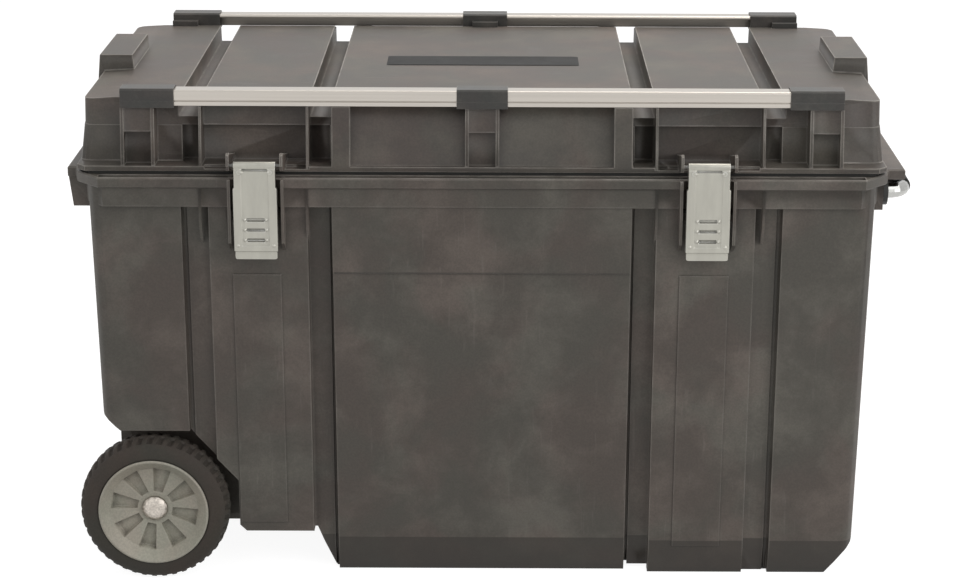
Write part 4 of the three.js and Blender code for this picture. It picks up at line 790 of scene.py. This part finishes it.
def sampled(corners, step):
    """Points every step along the straight lines between the corners, with the corners themselves."""
    runs = [np.array(corners[:1])]
    for first, second in zip(corners[:-1], corners[1:]):
        first, second = np.array(first), np.array(second)
        count = max(1, round(float(np.hypot(*(second - first))) / step))
        share = np.linspace(0, 1, count + 1)[1:, None]
        runs.append(first + (second - first) * share)
    return np.concatenate(runs)


def rise_of(value, edge):
    """0 below zero, 1 above edge, with a soft rise between."""
    share = np.clip(value / edge, 0, 1)
    return share * share * (3 - 2 * share)


def hub_mesh(name, node, side):
    """A closed profile of radius and depth turned about the axle, its dished web pressed in by pockets.

    A pocket is the product of four soft rises: from its inner end, its outer end and its two slanting sides. Within it
    the depth goes from the web's own to the pocket floor's.
    """
    low, high, centre = box_of(node)
    radius = (high[2] - low[2]) / 2
    face = high[1] if side > 0 else low[1]
    width = high[1] - low[1]
    shoulder = radius - HUB_SHOULDER
    lip = radius - HUB_LIP
    corners = [
        (HUB_BORE, HUB_DISH),
        (HUB_BOSS, HUB_DISH),
        (shoulder, HUB_SHOULDER_DEPTH),
        (lip - HUB_SOFT, HUB_SOFT),
        (lip, 0),
        (radius - HUB_SOFT, 0),
        (radius, HUB_SOFT),
        (radius, width),
        (radius - HUB_RIM, width),
        (radius - HUB_RIM, HUB_SHOULDER_DEPTH + HUB_WEB),
        (HUB_BOSS, HUB_DISH + HUB_WEB),
        (HUB_BOSS, width),
        (HUB_BORE, width),
        (HUB_BORE, HUB_DISH),
    ]
    front = sampled(corners[:4], HUB_FRONT_STEP)
    rest = sampled(corners[3:], HUB_BACK_STEP)[1:-1]
    profile = np.concatenate([front, rest])
    around = np.linspace(0, 2 * math.pi, HUB_ROUND, endpoint=False)[:, None]
    reach, depth = profile[:, 0][None, :], profile[:, 1][None, :]
    phase = (around - HUB_TURN) * HUB_POCKETS / (2 * math.pi)
    away = (phase - np.round(phase)) * 2 * math.pi / HUB_POCKETS
    along, aside = reach * np.cos(away), np.abs(reach * np.sin(away))
    inner, outer = HUB_BOSS + POCKET_INSET, shoulder
    half = np.interp(along, (inner, outer), POCKET_HALVES)
    pocket = rise_of(along - inner, POCKET_EDGE) * rise_of(outer - along, POCKET_EDGE)
    pocket = pocket * rise_of(half - aside, POCKET_EDGE)
    on_front = (np.arange(len(profile)) < len(front))[None, :]
    sunk = np.where(on_front, depth + (HUB_FLOOR - depth) * pocket, depth)
    return turned_mesh(name, centre, around, reach, face - side * sunk)


# Places on the cap are shares of its radius, and heights shares of its height
CAP_ROUND = 240
CAP_RINGS = 36
CAP_CRIMPS = 12
CAP_POWER = 2.6
CAP_SKIRT = 0.25
CAP_DIMPLE = 0.22
CAP_DIMPLE_REACH = 0.42
CAP_RIDGE = 0.05
CAP_RIDGE_START = 0.45
CAP_RIDGE_RUN = (0.3, 0.15)
CAP_DRAW = 0.025
CAP_DRAW_START = 0.6


def axle_cap_mesh(name, node, side):
    """A dome turned about the axle, its height 1 - r ** CAP_POWER over a skirt, crimped by a cosine round the rim."""
    low, high, centre = box_of(node)
    radius, height = (high[2] - low[2]) / 2, high[1] - low[1]
    foot = low[1] if side > 0 else high[1]
    share = np.concatenate([np.linspace(0, 1, CAP_RINGS), [1.0, 0.5, 0.0]])[None, :]
    on_dome = (np.arange(share.size) < CAP_RINGS)[None, :]
    around = np.linspace(0, 2 * math.pi, CAP_ROUND, endpoint=False)[:, None]
    crimp = 0.5 + 0.5 * np.cos(around * CAP_CRIMPS)
    ridge = np.clip((share - CAP_RIDGE_START) / CAP_RIDGE_RUN[0], 0, 1) * np.clip((1 - share) / CAP_RIDGE_RUN[1], 0, 1)
    drawn = CAP_DRAW * crimp * np.clip((share - CAP_DRAW_START) / (1 - CAP_DRAW_START), 0, 1)
    dome = CAP_SKIRT + (1 - CAP_SKIRT) * (1 - share**CAP_POWER)
    dimple = CAP_DIMPLE * np.clip(1 - (share / CAP_DIMPLE_REACH) ** 2, 0, 1)
    rise = np.where(on_dome, height * (dome - dimple + CAP_RIDGE * crimp * ridge), 0.0)
    rise = rise / np.max(rise) * height
    return turned_mesh(name, centre, around, radius * share * (1 - drawn), foot + side * rise, closed_v=False)


def make_wheels():
    for end, side in (("front", -1), ("back", 1)):
        body = f"wheel_{end}"
        tyre = linked(f"tyre_tread_{end}", tyre_mesh(f"tyre_tread_{end}", f"tyre_{end}"))
        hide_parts(f"tyre_{end}")
        dress(tyre, body, tyre_rubber)
        hub = linked(f"hub_dished_{end}", hub_mesh(f"hub_dished_{end}", f"hub_{end}", side))
        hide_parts(f"hub_{end}")
        dress(hub, body, hub_plastic)
        cap = linked(f"axle_nut_{end}", axle_cap_mesh(f"axle_nut_{end}", f"axle_cap_{end}", side))
        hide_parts(f"axle_cap_{end}")
        dress(cap, "chest", bright_cap)
        paint_node(f"axle_washer_{end}", pin_steel)


# The lid's black strip
STRIP_X = (-134 * MM, 108 * MM)
STRIP_Y = (-33 * MM, 22 * MM)
STRIP_HEIGHT = 0.8 * MM
STRIP_CLEAR = 0.1 * MM
STRIP_POINTS = (241, 81)
STRIP_CROWDING = 1.6
STRIP_SQUARENESS = 40
LID_TOP = 595 * MM


def crowded(count):
    """Numbers from -1 to 1 that lie closer together towards both ends."""
    even = np.linspace(-1, 1, count)
    return np.sign(even) * (1 - (1 - np.abs(even)) ** STRIP_CROWDING)


def strip_mesh(name):
    """A plain strip over a flat foot, its height (1 - |a| ** n) (1 - |b| ** n) over its length a and width b."""
    along, across = np.meshgrid(*(crowded(count) for count in STRIP_POINTS), indexing="ij")
    x = np.interp(along, (-1, 1), STRIP_X)
    y = np.interp(across, (-1, 1), STRIP_Y)
    foot = np.full_like(x, LID_TOP + STRIP_CLEAR)
    height = STRIP_HEIGHT * (1 - np.abs(along) ** STRIP_SQUARENESS) * (1 - np.abs(across) ** STRIP_SQUARENESS)
    return slab_mesh(name, np.stack([x, y, foot + height], axis=-1), np.stack([x, y, foot], axis=-1))


# The raised bands down the pilasters, and the long walls' depth from WALL_MIDDLE at two heights
BAND_X = ((-309 * MM, -249.5 * MM), (222 * MM, 282.5 * MM))
BAND_TOP = 391 * MM
BAND_FOOT = (68 * MM, 37.5 * MM)
BAND_PROUD = 1.4 * MM
BAND_LET_IN = 2.4 * MM
BAND_SOFT = 1.0 * MM
BAND_POINTS = (121, 361)
WALL_MIDDLE = 2.7 * MM
WALL_DEPTH = ((36 * MM, 475 * MM), (259 * MM, 267.1 * MM))


def band_mesh(name, side, ends, foot):
    """A raised band on a long wall: its face is the wall's own plane, moved out by the band's height times four soft
    rises from its edges, over a flat back let into the wall.
    """
    places = [np.linspace(*ends, BAND_POINTS[0]), np.linspace(foot, BAND_TOP, BAND_POINTS[1])]
    x, z = np.meshgrid(*places, indexing="ij")
    rise = rise_of(x - ends[0], BAND_SOFT) * rise_of(ends[1] - x, BAND_SOFT)
    rise = rise * rise_of(z - foot, BAND_SOFT) * rise_of(BAND_TOP - z, BAND_SOFT)
    behind = np.interp(z, *WALL_DEPTH) - BAND_LET_IN
    face = behind + (BAND_PROUD + BAND_LET_IN) * rise
    front = np.stack([x, WALL_MIDDLE + side * face, z], axis=-1)
    return slab_mesh(name, front, np.stack([x, WALL_MIDDLE + side * behind, z], axis=-1))


def make_bands():
    """The raised bands under the latches and the like ones on the back wall."""
    for end, side in (("front", -1), ("back", 1)):
        for hand, ends, foot in zip(("left", "right"), BAND_X, BAND_FOOT):
            name = f"pilaster_band_{end}_{hand}"
            band = linked(name, band_mesh(name, side, ends, foot))
            dress(band, "chest", tub_plastic)


MOULDED_ROUNDING = 0.8 * MM
RAIL_ROUNDING = 0.5 * MM


def make_shell():
    rounded_copy("tub", "tub_rounded", "chest", tub_plastic, MOULDED_ROUNDING, edge=edge_wear_and_highlight_plastic)
    rounded_copy("lid", "lid_rounded", "lid", lid_plastic, MOULDED_ROUNDING, edge=edge_wear_and_highlight_plastic)
    paint_node("lid_seal", seal_rubber)
    strip = linked("lid_strip", strip_mesh("lid_strip"))
    dress(strip, "lid", strip_film)


def make_rails():
    for end in ("front", "back"):
        rounded_copy(f"rail_{end}", f"rail_rounded_{end}", "lid", rail_aluminium, RAIL_ROUNDING)
        for piece in (f"rail_clip_{end}", f"rail_cap_{end}_left", f"rail_cap_{end}_right"):
            rounded_copy(piece, f"{piece}_rounded", "lid", cap_plastic, MOULDED_ROUNDING)


# The latch plate. Its half width and its flanges' depth are given between the lip and the shoulder, above the shoulder
# and on the lip. Heights are from the floor, and a stud or slot's place across is from the plate's middle.
LATCH_HALVES = (26 * MM, 24.6 * MM, 25.2 * MM)
LATCH_FLANGES = (7.4 * MM, 3.5 * MM, 2.5 * MM)
LATCH_SHOULDER = 500.5 * MM
LATCH_SHOULDER_RUN = 2 * MM
LATCH_LIP = 424.5 * MM
LATCH_LIP_RUN = 0.9 * MM
LATCH_LIP_STEP = 1.6 * MM
LATCH_TAIL = 2 * MM
LATCH_TAIL_POINTS = 8
LATCH_HEIGHT_POINTS = 176
LATCH_FRONT_POINTS = 95
LATCH_BEND_POINTS = 6
LATCH_THICKNESS = 1.6 * MM
LATCH_CORNER = 1.4 * MM
LATCH_FACE = 4.2 * MM
LATCH_SOFT = 1.2 * MM
FIELD_HALF = 16.4 * MM
FIELD_BASE = 431 * MM
BORDER_PROUD = 0.9 * MM
BORDER_STOP = 3 * MM
FOLD_HEIGHT = 523.4 * MM
FOLD_HALVES = (15 * MM, 1.8 * MM)
FOLD_SOFT = 1 * MM
FOLD_DEPTH = 2.4 * MM
STUDS = ((15.6 * MM, 520.5 * MM), (20.8 * MM, 432 * MM))
STUD_RADIUS = 2.2 * MM
STUD_PROUD = 1.2 * MM
SLOT_HEIGHTS = (463.3 * MM, 451 * MM, 438.7 * MM)
SLOT_HALVES = (10.5 * MM, 1.9 * MM)
SLOT_SOFT = (0.8 * MM, 0.7 * MM)
SLOT_DEPTH = 2.6 * MM
SLOT_END_PLACE = 12.6 * MM
SLOT_END_RADIUS = 2 * MM
SLOT_END_PROUD = 1.5 * MM
HOOD_SOFT = 1.5 * MM
HOOD_RUN = 6 * MM
HOOD_PROUD = 0.8 * MM
CURL_RADIUS = 4.5 * MM
CURL_BORE = 2.3 * MM
CURL_SOFT = 0.6 * MM
CURL_ROUND = 72
CURL_BEND_POINTS = 5


def domed(far):
    """The height of a dome, 1 - far ** 2, where far is the distance from its middle over its radius."""
    return np.clip(1 - far**2, 0, 1)


def stepped(sizes, above_lip, above_shoulder):
    """One of the latch's sizes at each height."""
    plate, top, lip = sizes
    return lip + (plate - lip) * above_lip + (top - plate) * above_shoulder


def latch_section():
    """The plate's channel section from one flange's free edge to the other's, as four rows of shares.

    They are the shares of the straight front's half width, of the corner's radius beside it, of the corner's radius
    behind the front, and of the flange behind the corner.
    """
    bend = np.linspace(0, math.pi / 2, LATCH_BEND_POINTS)[:-1]
    wing = np.array([1, 2 / 3, 1 / 3])
    run = np.linspace(-1, 1, LATCH_FRONT_POINTS)
    flat, ends = 0 * run, np.ones(len(bend) + len(wing))
    side = np.concatenate([np.ones(len(wing)), np.cos(bend)])
    arc = np.concatenate([np.ones(len(wing)), 1 - np.sin(bend)])
    back = np.concatenate([wing, 0 * bend])
    reach = np.concatenate([-ends, run, ends])
    side = np.concatenate([-side, flat, side[::-1]])
    arc, back = (np.concatenate([row, flat, row[::-1]]) for row in (arc, back))
    return reach, side, arc, back


def latch_relief(x, z, top):
    """How far the plate's front stands out at each point, and how far its back is pressed in there.

    The border and the field inside it, the fold under the curl, the slots and the hoods under them are products of
    soft rises, and the studs and the slots' ends are domes.
    """
    field = rise_of(FIELD_HALF - np.abs(x), LATCH_SOFT) * rise_of(z - FIELD_BASE, LATCH_SOFT)
    front = BORDER_PROUD * (1 - field) * rise_of(top - BORDER_STOP - z, LATCH_SOFT)
    fold = rise_of(FOLD_HALVES[0] - np.abs(x), FOLD_SOFT) * np.clip(1 - np.abs(z - FOLD_HEIGHT) / FOLD_HALVES[1], 0, 1)
    pressed = FOLD_DEPTH * fold
    front = front - pressed
    for aside, height in STUDS:
        front = front + STUD_PROUD * domed(np.hypot(np.abs(x) - aside, z - height) / STUD_RADIUS)
    for height in SLOT_HEIGHTS:
        above = z - height
        slot = rise_of(SLOT_HALVES[0] - np.abs(x), SLOT_SOFT[0]) * rise_of(SLOT_HALVES[1] - np.abs(above), SLOT_SOFT[1])
        slope = np.clip(1 + (above + SLOT_HALVES[1]) / HOOD_RUN, 0, 1) * (above < -SLOT_HALVES[1])
        hood = rise_of(SLOT_END_PLACE - np.abs(x), HOOD_SOFT) * slope
        end = domed(np.hypot(np.abs(x) - SLOT_END_PLACE, above) / SLOT_END_RADIUS)
        front = front - SLOT_DEPTH * slot + HOOD_PROUD * hood + SLOT_END_PROUD * end
        pressed = pressed + SLOT_DEPTH * slot
    return front, pressed


def latch_mesh(name, plate, pin):
    """A pressed plate: a channel section carried down its height, with a relief on its front and a stepped lip.

    The flanges' depth and the half width change by soft steps at the shoulder and the lip, and the lower corners are
    quarter circles. The front carries latch_relief.
    """
    low, _, centre = box_of(plate)
    _, _, pin_centre = box_of(pin)
    top, base, tail_top = pin_centre[2], low[2], low[2] + LATCH_TAIL
    tail = np.linspace(base, tail_top, LATCH_TAIL_POINTS)[:-1]
    z = np.concatenate([tail, np.linspace(tail_top, top, LATCH_HEIGHT_POINTS)])[:, None]
    steps = rise_of(z - LATCH_LIP, LATCH_LIP_RUN), rise_of(z - LATCH_SHOULDER, LATCH_SHOULDER_RUN)
    rounding = 1 - np.sqrt(1 - np.clip((tail_top - z) / LATCH_TAIL, 0, 1) ** 2)
    half = stepped(LATCH_HALVES, *steps) - LATCH_TAIL * rounding
    flange = stepped(LATCH_FLANGES, *steps)
    reach, side, arc, back = latch_section()
    x = reach * (half - LATCH_CORNER) + side * LATCH_CORNER
    y = arc * LATCH_CORNER + back * (flange - LATCH_CORNER)
    front, pressed = latch_relief(x, z, top)
    set_back = LATCH_LIP_STEP * (1 - steps[0])
    height = z + 0 * x
    outer = np.stack([x, y - front * (1 - arc) + set_back, height], axis=-1)
    inner_x = np.clip(x, LATCH_THICKNESS - half, half - LATCH_THICKNESS)
    inner = np.stack([inner_x, np.maximum(y, LATCH_THICKNESS) + pressed + set_back, height], axis=-1)
    fold = (outer + inner) / 2
    front_grid = np.concatenate([fold[:1], outer, fold[-1:]])
    back_grid = np.concatenate([fold[:1], inner, fold[-1:]])
    offset = np.array([centre[0], pin_centre[1] - LATCH_FACE, 0])
    return slab_mesh(name, front_grid + offset, back_grid + offset)


def curl_mesh(name, pin, middle):
    """The plate's rolled top: a tube round the pin, its ends rounded by a quarter circle."""
    _, _, centre = box_of(pin)
    half = LATCH_HALVES[1]
    bend = np.linspace(0, math.pi / 2, CURL_BEND_POINTS)
    place = np.concatenate([half - CURL_SOFT + CURL_SOFT * np.sin(bend), [half, half]])
    radius = CURL_RADIUS - CURL_SOFT + CURL_SOFT * np.cos(bend)
    radius = np.concatenate([radius, [CURL_RADIUS - 2 * CURL_SOFT, CURL_BORE]])
    place, radius = np.concatenate([place, -place[::-1]]), np.concatenate([radius, radius[::-1]])
    around = np.linspace(0, 2 * math.pi, CURL_ROUND, endpoint=False)[:, None]
    x = middle + place
    y = centre[1] + radius * np.cos(around)
    z = centre[2] + radius * np.sin(around)
    return outward(grid_mesh(name, np.stack(np.broadcast_arrays(x, y, z), axis=-1)))


def make_latches():
    for hand in ("left", "right"):
        body = f"latch_{hand}"
        plate = f"latch_plate_{hand}"
        middle = box_of(plate)[2][0]
        face = linked(f"latch_face_{hand}", latch_mesh(f"latch_face_{hand}", plate, f"latch_pin_{hand}"))
        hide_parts(plate)
        dress(face, body, latch_zinc)
        curl = linked(f"latch_curl_{hand}", curl_mesh(f"latch_curl_{hand}", f"latch_pin_{hand}", middle))
        dress(curl, body, latch_zinc)
        for node in (f"latch_hook_{hand}", f"latch_rivet_{hand}_a", f"latch_rivet_{hand}_b"):
            paint_node(node, latch_zinc)
        paint_node(f"latch_pin_{hand}", pin_steel)


def make_handle():
    paint_node("handle_tube", handle_chrome)
    paint_node("handle_grip", grip_rubber)
    for end in ("front", "back"):
        paint_node(f"handle_bushing_{end}", guide_plastic)
        paint_node(f"handle_sleeve_{end}", guide_plastic)
    for name in ("hinge_pin_left", "hinge_pin_middle", "hinge_pin_right", "axle"):
        paint_node(name, pin_steel)


make_camera()
make_world()
make_floor()
make_lights()
make_shell()
make_bands()
make_rails()
make_latches()
make_wheels()
make_handle()

bpy.context.scene.view_settings.view_transform = "Standard"
